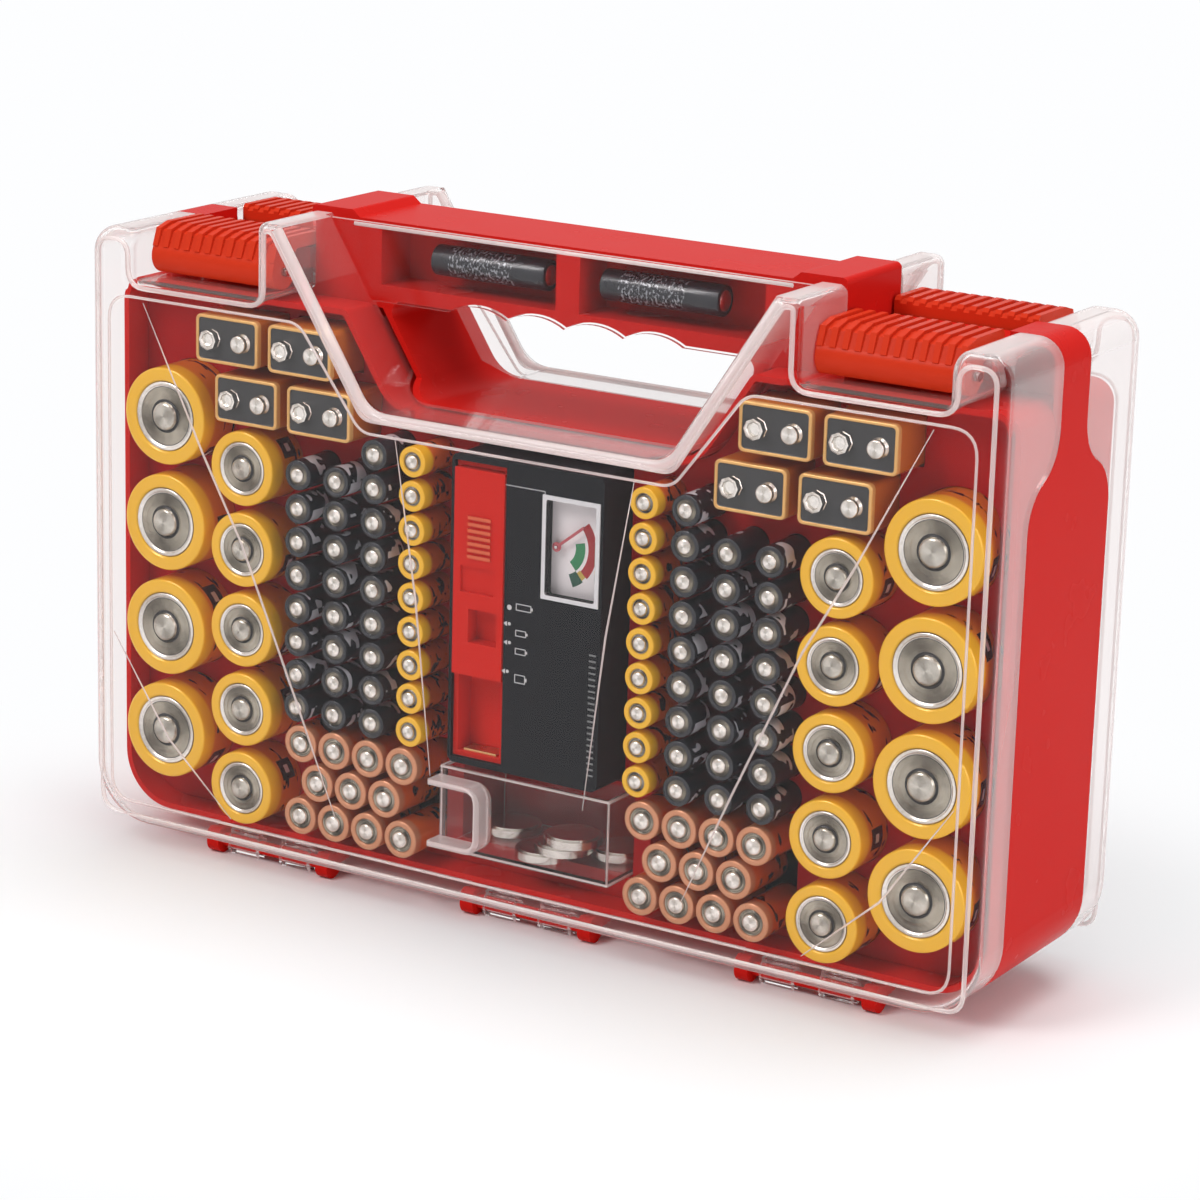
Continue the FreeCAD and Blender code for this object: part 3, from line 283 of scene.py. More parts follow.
# on metals with a shine value, light and dark quarters round the axis are painted highlight and shade
metals = {
    "cellSteel": {"light": (0.98, 0.96, 0.92), "dark": (0.44, 0.40, 0.35), "rough": 0.20, "scale": 900.0,
                  "paintedShine": 0.55},
    "nubSteel": {"light": (0.74, 0.71, 0.64), "dark": (0.20, 0.18, 0.15), "rough": 0.18, "scale": 420.0,
                 "paintedShine": 0.45},
    "cellPlate": {"light": (0.50, 0.46, 0.38), "dark": (0.07, 0.06, 0.05), "rough": 0.20, "scale": 330.0,
                  "paintedShine": 0.6},
    "pinSteel": {"light": (0.72, 0.72, 0.72), "dark": (0.50, 0.50, 0.50), "rough": 0.22, "scale": 700.0},
    "coinSteel": {"light": (0.82, 0.80, 0.76), "dark": (0.50, 0.48, 0.44), "rough": 0.12, "scale": 300.0},
    "brass": {"light": (0.80, 0.60, 0.28), "dark": (0.60, 0.42, 0.18), "rough": 0.28, "scale": 400.0},
    "coilCopper": {"light": (0.72, 0.34, 0.18), "dark": (0.42, 0.17, 0.08), "rough": 0.35, "scale": 900.0},
}
metalLook = {
    "quarterShift": 0.14, "smoother": 0.06, "rougher": 0.12, "smearShare": 0.4, "grainDepth": 0.02 * mm,
    "grain": 0.15,
}


def makeMetal(name):
    values, look = metals[name], metalLook
    s = Shader(name)
    place = s.place()
    cloud = s.noise(place, values["scale"], 3.0)
    shade = cloud
    if values.get("paintedShine"):  # painted highlight and shade: light and dark quarters round the axis, a shine baked into the colour
        uv = s.node("ShaderNodeUVMap", uv_map="wrap").outputs["UV"]
        parts = s.node("ShaderNodeSeparateXYZ")
        s.link(uv, parts.inputs["Vector"])
        paintedShine = s.maths("ADD", parts.outputs["X"], look["quarterShift"])
        wave = s.maths("SINE", s.maths("MULTIPLY", paintedShine, 4.0 * math.pi))
        quarters = s.maths("ADD", s.maths("MULTIPLY", wave, values["paintedShine"]), 0.5)
        shade = s.maths("MULTIPLY", s.maths("ADD", quarters, cloud), 0.5)
    shader = s.principled(Metallic=1.0)
    s.link(s.mix(shade, values["dark"], values["light"]), shader.inputs["Base Color"])
    rough = s.node("ShaderNodeMapRange")
    rough.inputs["To Min"].default_value = values["rough"] - look["smoother"]
    rough.inputs["To Max"].default_value = values["rough"] + look["rougher"]
    s.link(s.noise(place, values["scale"] * look["smearShare"], 4.0), rough.inputs["Value"])
    s.link(rough.outputs["Result"], shader.inputs["Roughness"])
    s.link(s.bump(cloud, look["grainDepth"], look["grain"]), shader.inputs["Normal"])
    return s.finish(shader.outputs["BSDF"])


# cell wraps: v runs along the cell in units of wrapUnit, u goes round it once
wrapUnit = 50.0 * mm
golden = (0.95, 0.52, 0.012)
amber = (0.78, 0.24, 0.012)
orange = (0.72, 0.13, 0.012)
soot = (0.012, 0.012, 0.015)
slate = (0.011, 0.013, 0.020)
silver = (0.74, 0.76, 0.80)
wraps = {
    "goldenWrap": {"bands": [(0.0, golden), (0.13, golden), (0.16, amber), (0.42, amber), (0.46, soot)],
                   "mark": soot, "metal": 0.08, "from": 0.17, "cover": 0.62, "around": 5.0, "along": 9.0,
                   "badge": True},
    "slimYellowWrap": {"bands": [(0.0, golden), (0.10, golden), (0.13, orange), (0.50, orange), (0.54, soot)],
                       "mark": soot, "metal": 0.08, "from": 0.14, "cover": 0.56, "around": 3.0, "along": 8.0},
    # the silver patches near the front of the slate wrap are partly print and partly painted highlight, the
    # sheen behind the front fold
    "slateWrap": {"bands": [(0.0, slate), (0.05, slate), (0.30, slate), (0.60, slate), (0.80, slate)],
                  "mark": silver, "metal": 0.10, "from": 0.055, "until": 0.24, "cover": 0.545, "around": 1.6,
                  "along": 3.4},
    "finePrintWrap": {"bands": [(0.0, slate), (0.05, slate), (0.30, slate), (0.60, slate), (0.80, slate)],
                      "mark": (0.30, 0.32, 0.35), "metal": 0.10, "from": 0.16, "until": 0.66, "cover": 0.565,
                      "around": 16.0, "along": 34.0},
    "copperWrap": {"bands": [(0.0, (0.66, 0.30, 0.16)), (0.07, (0.60, 0.24, 0.11)), (0.10, orange),
                             (0.48, orange), (0.52, soot)],
                   "mark": soot, "metal": 0.35, "from": 0.12, "cover": 0.60, "around": 3.0, "along": 7.0},
}
wrapLook = {
    "spotScale": 1.6, "spotRough": 0.6, "rough": 0.27, "coat": 0.2, "coatRough": 0.12,
    "wearScale": 260.0, "wearShare": 0.07, "wearShade": (0.16, 0.16, 0.16),
}
# dark panel near the front of a wrap, with a pale dot in it: middle along the wrap, half sizes
badge = {"along": 0.25, "panel": (0.045, 0.07), "dot": (0.018, 0.022)}


def makeWrap(name):
    values, look = wraps[name], wrapLook
    s = Shader(name)
    uv = s.node("ShaderNodeUVMap", uv_map="wrap").outputs["UV"]
    parts = s.node("ShaderNodeSeparateXYZ")
    s.link(uv, parts.inputs["Vector"])
    stretch = s.node("ShaderNodeMapping")
    stretch.inputs["Scale"].default_value = (values["around"], values["along"], 1.0)
    s.link(uv, stretch.inputs["Vector"])
    band = s.ramp(parts.outputs["Y"], values["bands"])
    spots = s.noise(stretch.outputs["Vector"], look["spotScale"], 2.0, look["spotRough"])
    inked = s.maths("GREATER_THAN", spots, values["cover"])
    below = s.maths("GREATER_THAN", parts.outputs["Y"], values["from"])
    above = s.maths("LESS_THAN", parts.outputs["Y"], values.get("until", 2.0))
    mask = s.maths("MULTIPLY", inked, s.maths("MULTIPLY", below, above))
    colour = s.mix(mask, band, values["mark"])
    if values.get("badge"):
        across = s.maths("ABSOLUTE", s.maths("SUBTRACT", s.maths("FRACT", parts.outputs["X"]), 0.5))
        down = s.maths("ABSOLUTE", s.maths("SUBTRACT", parts.outputs["Y"], badge["along"]))
        for part, ink in (("panel", soot), ("dot", silver)):
            halfAcross, halfDown = badge[part]
            inside = s.maths("MULTIPLY", s.maths("LESS_THAN", across, halfAcross),
                             s.maths("LESS_THAN", down, halfDown))
            colour = s.mix(inside, colour, ink)
    worn = s.maths("MULTIPLY", s.noise(s.place(), look["wearScale"], 4.0), look["wearShare"])
    shader = s.principled(Metallic=values["metal"], Roughness=look["rough"], Coat_Weight=look["coat"],
                          Coat_Roughness=look["coatRough"])
    s.link(s.mix(worn, colour, look["wearShade"]), shader.inputs["Base Color"])
    return s.finish(shader.outputs["BSDF"])


print("materials")
materials = {name: makePlastic(name) for name in plastics}
materials.update({name: makeMetal(name) for name in metals})
materials.update({name: makeWrap(name) for name in wraps})
materials.update({name: makeClear(name, **values) for name, values in clears.items()})


# plain paint and ink, a little uneven
paintLook = {"cloudScale": 400.0, "dim": 0.82}


def makePaint(name, colour, rough, metal=0.0):
    s = Shader(name)
    cloud = s.noise(s.place(), paintLook["cloudScale"], 3.0)
    dim = tuple(c * paintLook["dim"] for c in colour)
    shader = s.principled(Roughness=rough, Metallic=metal)
    s.link(s.mix(cloud, dim, colour), shader.inputs["Base Color"])
    return s.finish(shader.outputs["BSDF"])


paints = {
    "nineFace": {"colour": (0.045, 0.047, 0.050), "rough": 0.42},
    "nineRim": {"colour": (0.86, 0.50, 0.17), "rough": 0.32, "metal": 0.3},
    "nineSide": {"colour": (0.58, 0.16, 0.016), "rough": 0.32, "metal": 0.15},
    "needleRed": {"colour": (0.55, 0.10, 0.12), "rough": 0.4},
    "dialRed": {"colour": (0.45, 0.012, 0.02), "rough": 0.5},
    "dialGreen": {"colour": (0.02, 0.28, 0.10), "rough": 0.5},
    "dialDark": {"colour": (0.01, 0.10, 0.06), "rough": 0.5},
    "inkWhite": {"colour": (0.66, 0.67, 0.68), "rough": 0.5},
    "inkGrey": {"colour": (0.20, 0.205, 0.21), "rough": 0.5},
    "bezelWhite": {"colour": (0.80, 0.81, 0.83), "rough": 0.35},
    "ribCrownHighlight": {"colour": (0.78, 0.12, 0.035), "rough": 0.4},
    "dialYellow": {"colour": (0.70, 0.52, 0.10), "rough": 0.5},
    "ringBlack": {"colour": (0.02, 0.02, 0.022), "rough": 0.5},
}
for name, values in paints.items():
    materials[name] = makePaint(name, **values)


# CAD nodes that keep their shape
finishes = {
    "case_shell": "caseRed", "front_tray_left": "trayShadedRed", "front_tray_middle": "trayShadedRed",
    "front_tray_right": "trayShadedRed", "back_tray": "trayShadedRed",
    "front_hinge_rods": "caseRed", "back_hinge_rods": "caseRed",
    "front_lid": "clear", "back_lid": "clear", "coin_drawer": "drawerClear", "meter_lens": "lensClear",
    "front_right_latch": "latchRed", "front_left_latch": "latchRed",
    "back_right_latch": "latchRed", "back_left_latch": "latchRed",
    "front_right_latch_pin": "pinSteel", "front_left_latch_pin": "pinSteel",
    "back_right_latch_pin": "pinSteel", "back_left_latch_pin": "pinSteel",
    "coin_cells": "coinSteel", "tester_housing": "testerBlack", "tester_cover": "testerBlack",
    "tester_trough": "slideRed", "tester_slide": "slideRed", "tester_trough_contact": "brass",
    "tester_slide_contact": "brass", "meter_dial": "dialWhite", "meter_needle": "needleRed",
    "meter_pivot": "pinSteel", "meter_coil": "coilCopper", "tester_board": "boardGreen",
}


def dressNodes():
    for node, name in finishes.items():
        slots = nodes[node].material_slots
        for slot in slots:
            slot.material = materials[name]


# makes a piece from a finished bmesh and lets it ride on a body
def addPiece(name, work, body, slotName, looks):
    bmesh.ops.recalc_face_normals(work, faces=work.faces)
    mesh = bpy.data.meshes.new(name)
    work.to_mesh(mesh)
    work.free()
    for look in looks:
        mesh.materials.append(materials[look])
    made = bpy.data.objects.new(name, mesh)
    bpy.context.scene.collection.objects.link(made)
    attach(made, body)
    return made


# low and high corner of each loose solid of a node
def islands(node):
    work = bmesh.new()
    work.from_mesh(nodes[node].data)
    bmesh.ops.remove_doubles(work, verts=work.verts, dist=1e-6)
    left = set(work.verts)
    found = []
    while left:
        start = left.pop()
        stack, group = [start], [start.co.copy()]
        while stack:
            for edge in stack.pop().link_edges:
                for other in edge.verts:
                    if other in left:
                        left.remove(other)
                        stack.append(other)
                        group.append(other.co.copy())
        low = Vector([min(p[i] for p in group) for i in range(3)])
        high = Vector([max(p[i] for p in group) for i in range(3)])
        found.append((low, high))
    work.free()
    found.sort(key=lambda pair: tuple(round(v, 4) for v in pair[0]))
    return found


# turns a profile of (radius, depth, material) round a cell's axis
def turnedRings(work, uvLayer, profile, frameOf, steps, spin, smooth=True):
    rings = []
    for radius, depth, _ in profile:
        if radius <= 0.0:
            rings.append([work.verts.new(frameOf(0.0, 0.0, depth))])
            continue
        ring = []
        for i in range(steps):
            angle = 2.0 * math.pi * i / steps
            ring.append(work.verts.new(frameOf(radius * math.cos(angle), radius * math.sin(angle), depth)))
        rings.append(ring)
    for k in range(len(rings) - 1):
        a, b = rings[k], rings[k + 1]
        if len(a) == 1 and len(b) == 1:
            continue
        for i in range(steps):
            j = (i + 1) % steps
            if len(a) == 1:
                corners = [(a[0], i + 0.5, k), (b[j], i + 1, k + 1), (b[i], i, k + 1)]
            elif len(b) == 1:
                corners = [(a[i], i, k), (a[j], i + 1, k), (b[0], i + 0.5, k + 1)]
            else:
                corners = [(a[i], i, k), (a[j], i + 1, k), (b[j], i + 1, k + 1), (b[i], i, k + 1)]
            face = work.faces.new([corner[0] for corner in corners])
            face.smooth = smooth
            face.material_index = profile[k + 1][2]
            for loop, (_, step, row) in zip(face.loops, corners):
                loop[uvLayer].uv = (step / steps + spin, profile[row][1] / wrapUnit)


# length, radius and placing of a cell that lies across the case or points out of it; its depth runs
# from the button end
def cellFrame(low, high):
    size = high - low
    middle = (low + high) / 2.0
    if size.x > size.y and size.x > size.z:
        lying = lambda a, b, d: Vector((low.x + d, middle.y + a, middle.z + b))
        return size.x, min(size.y, size.z) / 2.0, lying
    pointing = lambda a, b, d: Vector((middle.x + a, low.y + d, middle.z + b))
    return size.y, min(size.x, size.z) / 2.0, pointing


# round cells
steel, wrap, shadeRing, dull, nub = 0, 1, 2, 3, 4  # material slots; slot 2 is near black: in the grooves round the button and beside the steel ring it is painted shade, and on the flat end it makes a raised dark ring
roundCells = {
    "d_cells": {"piece": "largeCells", "slot": "yellow_cell", "wrap": "goldenWrap",
                "button": 0.28, "plate": 0.72, "ring": steel, "steps": 64},
    "c_cells": {"piece": "middleCells", "slot": "yellow_cell", "wrap": "goldenWrap",
                "button": 0.29, "plate": 0.72, "ring": steel, "steps": 56},
    "aaa_yellow_cells": {"piece": "slimYellowCells", "slot": "yellow_cell", "wrap": "slimYellowWrap",
                         "button": 0.45, "plate": 0.63, "ring": dull, "steps": 32},
    "aaa_black_cells": {"piece": "slimBlackCells", "slot": "black_cell", "wrap": "slateWrap",
                        "button": 0.49, "plate": 0.68, "ring": dull, "steps": 32},
    "aa_front_cells": {"piece": "smallFrontCells", "slot": "copper_cell", "wrap": "copperWrap",
                       "button": 0.43, "plate": 0.68, "ring": dull, "steps": 36},
    "aa_back_cells": {"piece": "smallBackCells", "slot": "copper_cell", "wrap": "copperWrap",
                      "button": 0.38, "plate": 0.68, "ring": dull, "steps": 36},
    "grip_front_cells": {"piece": "gripFrontCells", "slot": "black_cell", "wrap": "finePrintWrap",
                         "button": 0.40, "plate": 0.70, "ring": dull, "steps": 32},
    "grip_back_cells": {"piece": "gripBackCells", "slot": "black_cell", "wrap": "finePrintWrap",
                        "button": 0.40, "plate": 0.70, "ring": dull, "steps": 32},
}
# both ends of a round cell; depths run inwards from the button's top
cellEnd = {
    "fullRelief": 9.0 * mm,  # ridges and folds get smaller on cells slimmer than this
    "largeRadius": 12.0 * mm,
    "plateDepth": 1.5 * mm,
    "rimDepth": 0.9 * mm,
    "fold": 0.75 * mm,
    # share of the button's radius, depth in mm
    "button": [(0.0, 0.10), (0.40, 0.06), (0.55, 0.0), (0.80, 0.10), (0.95, 0.40), (1.0, 0.75)],
    # share of the button's radius, mm behind the plate's face, slot
    "foot": [(1.04, -0.20, "tip"), (1.10, 0.12, shadeRing), (1.24, 0.14, shadeRing), (1.30, 0.05, dull)],
    # share of the plate's radius, mm behind its face, slot
    "plate": [(0.58, -0.16, dull), (0.63, -0.20, dull), (0.67, 0.06, dull), (0.70, 0.08, dull),
              (0.76, -0.14, dull), (0.83, 0.02, dull), (0.85, 0.12, shadeRing), (0.87, 0.10, "ring"),
              (0.89, -0.22, "ring"), (0.92, -0.40, "ring"), (0.96, -0.40, "ring"), (0.985, -0.20, "ring"),
              (0.99, 0.05, shadeRing), (1.0, 0.05, shadeRing)],
    # share of the plate's radius, mm behind the rim
    "lip": [(1.01, 0.55), (1.03, 0.16), (1.07, 0.03), (1.12, 0.0)],
    # folds in from the side and back from the end, both as shares of the fold
    "frontFold": [(1.3, 0.0), (0.62, 0.10), (0.24, 0.34), (0.05, 0.72), (0.0, 1.2)],
    "backFold": [(0.0, 1.0), (0.3, 0.25), (0.9, 0.0)],
    # share of the cell's radius, mm in front of the flat end, slot
    "back": [(0.70, 0.0, wrap), (0.69, 0.15, shadeRing), (0.66, 0.15, shadeRing), (0.65, 0.0, steel),
             (0.0, 0.0, steel)],
}


# rows of (radius, depth, slot) from the button round the side to the flat end
def roundProfile(radius, length, values):
    v = cellEnd
    small = min(1.0, radius / v["fullRelief"])
    fold = v["fold"] * small
    own = {"tip": nub if radius > v["largeRadius"] else steel, "ring": values["ring"]}
    button, plate = values["button"] * radius, values["plate"] * radius
    rows = [(button * share, depth * mm, own["tip"]) for share, depth in v["button"]]
    for base, table in ((button, v["foot"]), (plate, v["plate"])):
        for share, depth, slot in table:
            raised = small if depth < 0.0 else 1.0
            rows.append((base * share, v["plateDepth"] + depth * mm * raised, own.get(slot, slot)))
    rows += [(plate * share, v["rimDepth"] + depth * mm, wrap) for share, depth in v["lip"]]
    rows += [(radius - fold * side, v["rimDepth"] + fold * end, wrap) for side, end in v["frontFold"]]
    rows.append((radius, length * 0.5, wrap))
    rows += [(radius - fold * side, length - fold * end, wrap) for side, end in v["backFold"]]
    rows += [(radius * share, length - depth * mm, slot) for share, depth, slot in v["back"]]
    return rows


# how far each cell is turned; whole turns change the marks on its wrap
wrapSpin = {"part": (-0.12, 0.16), "whole": (0, 40)}


def makeRoundCells(node, values, seed):
    chance = random.Random(seed)
    work = bmesh.new()
    uvLayer = work.loops.layers.uv.new("wrap")
    for low, high in islands(node):
        length, radius, frameOf = cellFrame(low, high)
        spin = 0.5 + chance.uniform(*wrapSpin["part"]) + chance.randint(*wrapSpin["whole"])
        profile = roundProfile(radius, length, values)
        turnedRings(work, uvLayer, profile, frameOf, values["steps"], spin)
    looks = ("cellSteel", values["wrap"], "ringBlack", "cellPlate", "nubSteel")
    made = addPiece(values["piece"], work, nodes[node]["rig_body"], values["slot"], looks)
    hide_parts(node)


# square cells
squareCells = {
    "corner": 2.0 * mm,
    "rimWidth": 1.1 * mm,
    "rimRise": 0.5 * mm,
    "snapHeight": 2.6 * mm,
    "snapSpacing": 12.7 * mm,
    "wrapScale": 20.0,
}
# the two snaps: share of the radius, mm behind the top or behind the base ("inside" and "foot")
snaps = {
    "crown": {"side": -1, "radius": 3.5 * mm, "sides": 8, "smooth": False,
              "inside": [(0.62, -0.4)],
              "top": [(0.62, 0.5), (0.7, 0.12), (0.86, 0.0), (1.0, 0.2), (0.99, 0.9)],
              "foot": [(0.93, -0.3), (1.0, 0.0)],
              "floor": (0.62, 1.3)},
    "stud": {"side": 1, "radius": 3.0 * mm, "sides": 28, "smooth": True,
             "inside": [],
             "top": [(0.0, 0.05), (0.75, 0.0), (0.93, 0.12), (1.0, 0.4), (1.0, 0.9), (0.86, 1.2)],
             "foot": [(0.86, -0.3), (1.12, -0.1), (1.12, 0.0)]},
}


def snapProfile(snap, base):
    rows = [(share, base + depth * mm) for share, depth in snap["inside"]]
    rows += [(share, depth * mm) for share, depth in snap["top"]]
    rows += [(share, base + depth * mm) for share, depth in snap["foot"]]
    return [(share * snap["radius"], depth, steel) for share, depth in rows]


def roundedLoop(halfX, halfZ, radius, steps=6):
    points = []
    for k, (sx, sz) in enumerate(((1, 1), (-1, 1), (-1, -1), (1, -1))):
        for i in range(steps + 1):
            angle = math.pi / 2.0 * (k + i / steps)
            points.append((sx * (halfX - radius) + radius * math.cos(angle),
                           sz * (halfZ - radius) + radius * math.sin(angle)))
    return points


# joins rounded rectangles given as (half x, half z, corner radius, depth, material)
def loopStack(work, uvLayer, layers, middle):
    rings = []
    for halfX, halfZ, radius, depth, _ in layers:
        rings.append([work.verts.new((middle.x + x, middle.y + depth, middle.z + z))
                      for x, z in roundedLoop(halfX, halfZ, radius)])
    count = len(rings[0])
    scale = squareCells["wrapScale"]
    for k in range(len(rings) - 1):
        for i in range(count):
            j = (i + 1) % count
            face = work.faces.new((rings[k][i], rings[k][j], rings[k + 1][j], rings[k + 1][i]))
            face.material_index = layers[k + 1][4]
            face.smooth = True
            for loop in face.loops:
                loop[uvLayer].uv = (loop.vert.co.x * scale, loop.vert.co.z * scale)
    for ring, layer in ((rings[0], layers[0]), (rings[-1], layers[-1])):
        face = work.faces.new(ring)
        face.material_index = layer[4]


def makeSquareCells():
    v = squareCells
    face, rim, side = 1, 2, 3
    work = bmesh.new()
    uvLayer = work.loops.layers.uv.new("wrap")
    for low, high in islands("nine_volt_cells"):
        size = high - low
        hx, hz = size.x / 2.0, size.z / 2.0
        top = low.y + v["snapHeight"]
        middle = Vector(((low.x + high.x) / 2.0, top, (low.z + high.z) / 2.0))
        length = high.y - top
        r = v["corner"]
        w = v["rimWidth"]
        rise = v["rimRise"]
        # distance inside the outline, share of the corner, depth, slot
        rows = [
            (w + 0.5 * mm, 0.5, rise, face), (w, 0.6, rise, face),  # sunk face
            (w, 0.6, 0.10 * mm, rim), (w - 0.15 * mm, 0.65, 0.0, rim),  # raised rim
            (0.35 * mm, 0.85, 0.0, rim), (0.08 * mm, 1.0, 0.2 * mm, rim),
            (0.0, 1.0, 0.6 * mm, rim), (0.0, 1.0, 2.2 * mm, rim),
            (0.0, 1.0, 2.25 * mm, side), (0.0, 1.0, length - 0.6 * mm, side), (0.5 * mm, 0.8, length, side),
        ]
        layers = [(hx - inset, hz - inset, r * share, depth, slot) for inset, share, depth, slot in rows]
        loopStack(work, uvLayer, layers, middle)
        base = v["snapHeight"] + rise
        for snap in snaps.values():
            centre = Vector((middle.x + snap["side"] * v["snapSpacing"] / 2.0, low.y, middle.z))
            place = lambda a, b, d, c=centre: Vector((c.x + a, c.y + d, c.z + b))
            profile = snapProfile(snap, base)
            turnedRings(work, uvLayer, profile, place, snap["sides"], 0.0, smooth=snap["smooth"])
            if "floor" in snap:
                share, depth = snap["floor"]
                reach = snap["radius"] * share
                turns = [2.0 * math.pi * i / snap["sides"] for i in range(snap["sides"])]
                points = [place(reach * math.cos(t), reach * math.sin(t), depth * mm) for t in turns]
                floor = work.faces.new([work.verts.new(point) for point in points])
                floor.material_index = steel
    looks = ("cellSteel", "nineFace", "nineRim", "nineSide")
    made = addPiece("squareCells", work, "case", "nine_volt_cell", looks)
    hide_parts("nine_volt_cells")


# lid creases and rim beads, in mm; the beads are whitish all over, painted highlights along the creases and
# the lid's rounded edges
lidLines = {
    "creases": {"points": [[(150.5, 197.0), (125.5, 149.0), (108.8, 119.5), (85.0, 67.0), (68.5, 29.0)],
                           [(46.0, 165.0), (37.0, 112.0), (30.0, 52.0)],
                           [(164.0, 79.0), (140.0, 44.0), (113.0, 20.0)]],
                "radius": 0.42, "depth": 48.75, "taper": 0.35},
    # right halves of lines that go round the lid, from the middle of the notch to the middle of the bottom
    "border": {"points": [(0.0, 165.2), (60.0, 165.2), (85.5, 198.6), (165.3, 198.6),
                          (165.3, 17.8), (0.0, 17.8)],
               "round": 9.0, "radius": 0.5, "depth": 48.7},
    "rim": {"points": [(0.0, 169.6), (59.5, 169.6), (97.0, 227.6), (100.2, 227.6), (100.2, 201.6),
                       (157.8, 201.6), (157.8, 217.6), (170.2, 217.6), (170.2, 12.8), (0.0, 12.8)],
            "round": 7.0, "radius": 0.8, "depth": 48.2},
    "band": {"points": [(0.0, 170.6), (58.2, 170.6), (95.6, 228.4)], "round": 13.0, "radius": 1.6,
             "depth": 47.6},
    "pane": {"points": [(-84.0, 228.2), (84.0, 228.2)], "radius": 0.7, "depth": 19.4},
}


# polyline with its corners turned into arcs
def roundedPath(points, radius, steps=6):
    path = [Vector(points[0])]
    for before, corner, after in zip(points, points[1:], points[2:]):
        a, c, b = Vector(before), Vector(corner), Vector(after)
        into, out = (a - c).normalized(), (b - c).normalized()
        most = 0.45 * min((a - c).length, (b - c).length)
        reach = min(radius / math.tan(into.angle(out) / 2.0), most)
        start, end = c + into * reach, c + out * reach
        for i in range(steps + 1):
            t = i / steps
            path.append(start * (1 - t) ** 2 + c * 2 * t * (1 - t) + end * t ** 2)
    path.append(Vector(points[-1]))
    return path


# round bead along a line of points; taper is the share of the radius left at its ends
def beadAlong(work, points, radius, taper, steps=8):
    rings = []
    for i, point in enumerate(points):
        a = points[max(i - 1, 0)]
        b = points[min(i + 1, len(points) - 1)]
        along = (b - a).normalized()
        side = along.cross(Vector((0, 1, 0))).normalized()
        out = side.cross(along).normalized()
        share = taper if i in (0, len(points) - 1) else 1.0
        rings.append([work.verts.new(point + (side * math.cos(t) + out * math.sin(t)) * radius * share)
                      for t in (2.0 * math.pi * k / steps for k in range(steps))])
    for a, b in zip(rings, rings[1:]):
        for i in range(steps):
            j = (i + 1) % steps
            work.faces.new((a[i], a[j], b[j], b[i])).smooth = True
    work.faces.new(rings[0])
    work.faces.new(rings[-1])


def beadAcross(work, x, z, start, end, radius, steps=8):
    rings = [[work.verts.new((x + radius * math.cos(2 * math.pi * k / steps), y,
                              z + radius * math.sin(2 * math.pi * k / steps))) for k in range(steps)]
             for y in (start, end)]
    for i in range(steps):
        j = (i + 1) % steps
        work.faces.new((rings[0][i], rings[0][j], rings[1][j], rings[1][i])).smooth = True
    work.faces.new(rings[0])
    work.faces.new(rings[1])


def addLine(work, points, values, side, closed=False, slot=0):
    line = [Vector((x * mm, side * values["depth"] * mm, z * mm)) for x, z in points]
    made = len(work.faces)
    beadAlong(work, line + line[:1] if closed else line, values["radius"] * mm, values.get("taper", 1.0))
    work.faces.ensure_lookup_table()
    for face in work.faces[made:]:
        face.material_index = slot


def makeLidLines(name, body, side):
    work = bmesh.new()
    for points in lidLines["creases"]["points"]:
        for sign in (-1, 1):
            addLine(work, [(sign * x, z) for x, z in points], lidLines["creases"], side)
    for key in ("border", "rim"):
        values = lidLines[key]
        half = roundedPath(values["points"], values["round"])
        addLine(work, half + [(-p[0], p[1]) for p in half[-2:0:-1]], values, side, closed=True)
    values = lidLines["band"]
    half = roundedPath(values["points"], values["round"])
    addLine(work, [(-p[0], p[1]) for p in half[:0:-1]] + half, values, side, slot=1)
    addLine(work, lidLines["pane"]["points"], lidLines["pane"], side, slot=1)
    addPiece(name, work, body, "clear_plastic", ("clearRidgeHighlight", "clearRimHighlight"))


# painted highlights: whitish beads along the edges of the coin drawer and of its pull, in mm
drawerLines = {
    "radius": 0.45,
    "inset": 0.5,
    "pullDepth": 7.5,
    "frontGap": 0.45,  # from the drawer's front and back to the bright edges there
    "backGap": 0.5,
    "endGap": 0.1,
    "pull": [(-33.0, 26.5), (-14.9, 26.5), (-14.9, 48.5), (-33.0, 48.5)],
    "round": 5.5,
    "pullFoot": {"gap": 0.2, "share": 0.8},
}


def makeDrawerLines():
    low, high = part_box("coin_drawer")
    v = drawerLines
    front = low.y + v["pullDepth"] * mm
    x0, x1 = low.x / mm + v["inset"], high.x / mm - v["inset"]
    z0, z1 = low.z / mm + v["inset"], high.z / mm - v["inset"]
    outline = [(x0, z0), (x1, z0), (x1, z1), (x0, z1), (x0, z0)]
    strap = roundedPath(v["pull"], v["round"])
    foot = v["pullFoot"]
    work = bmesh.new()

    def line(points, depth, share=1.0):
        beadAlong(work, [Vector((x * mm, depth, z * mm)) for x, z in points], v["radius"] * share * mm, 1.0)

    line(outline, front + v["frontGap"] * mm)
    line(outline, high.y - v["backGap"] * mm)
    for x in (x0, x1):
        for z in (z0, z1):
            beadAcross(work, x * mm, z * mm, front, high.y - v["endGap"] * mm, v["radius"] * mm)
    line(strap, low.y + v["inset"] * mm)
    line(strap, front - foot["gap"] * mm, foot["share"])
    addPiece("drawerLines", work, "coin_drawer", "clear_plastic", ("clearRimHighlight",))


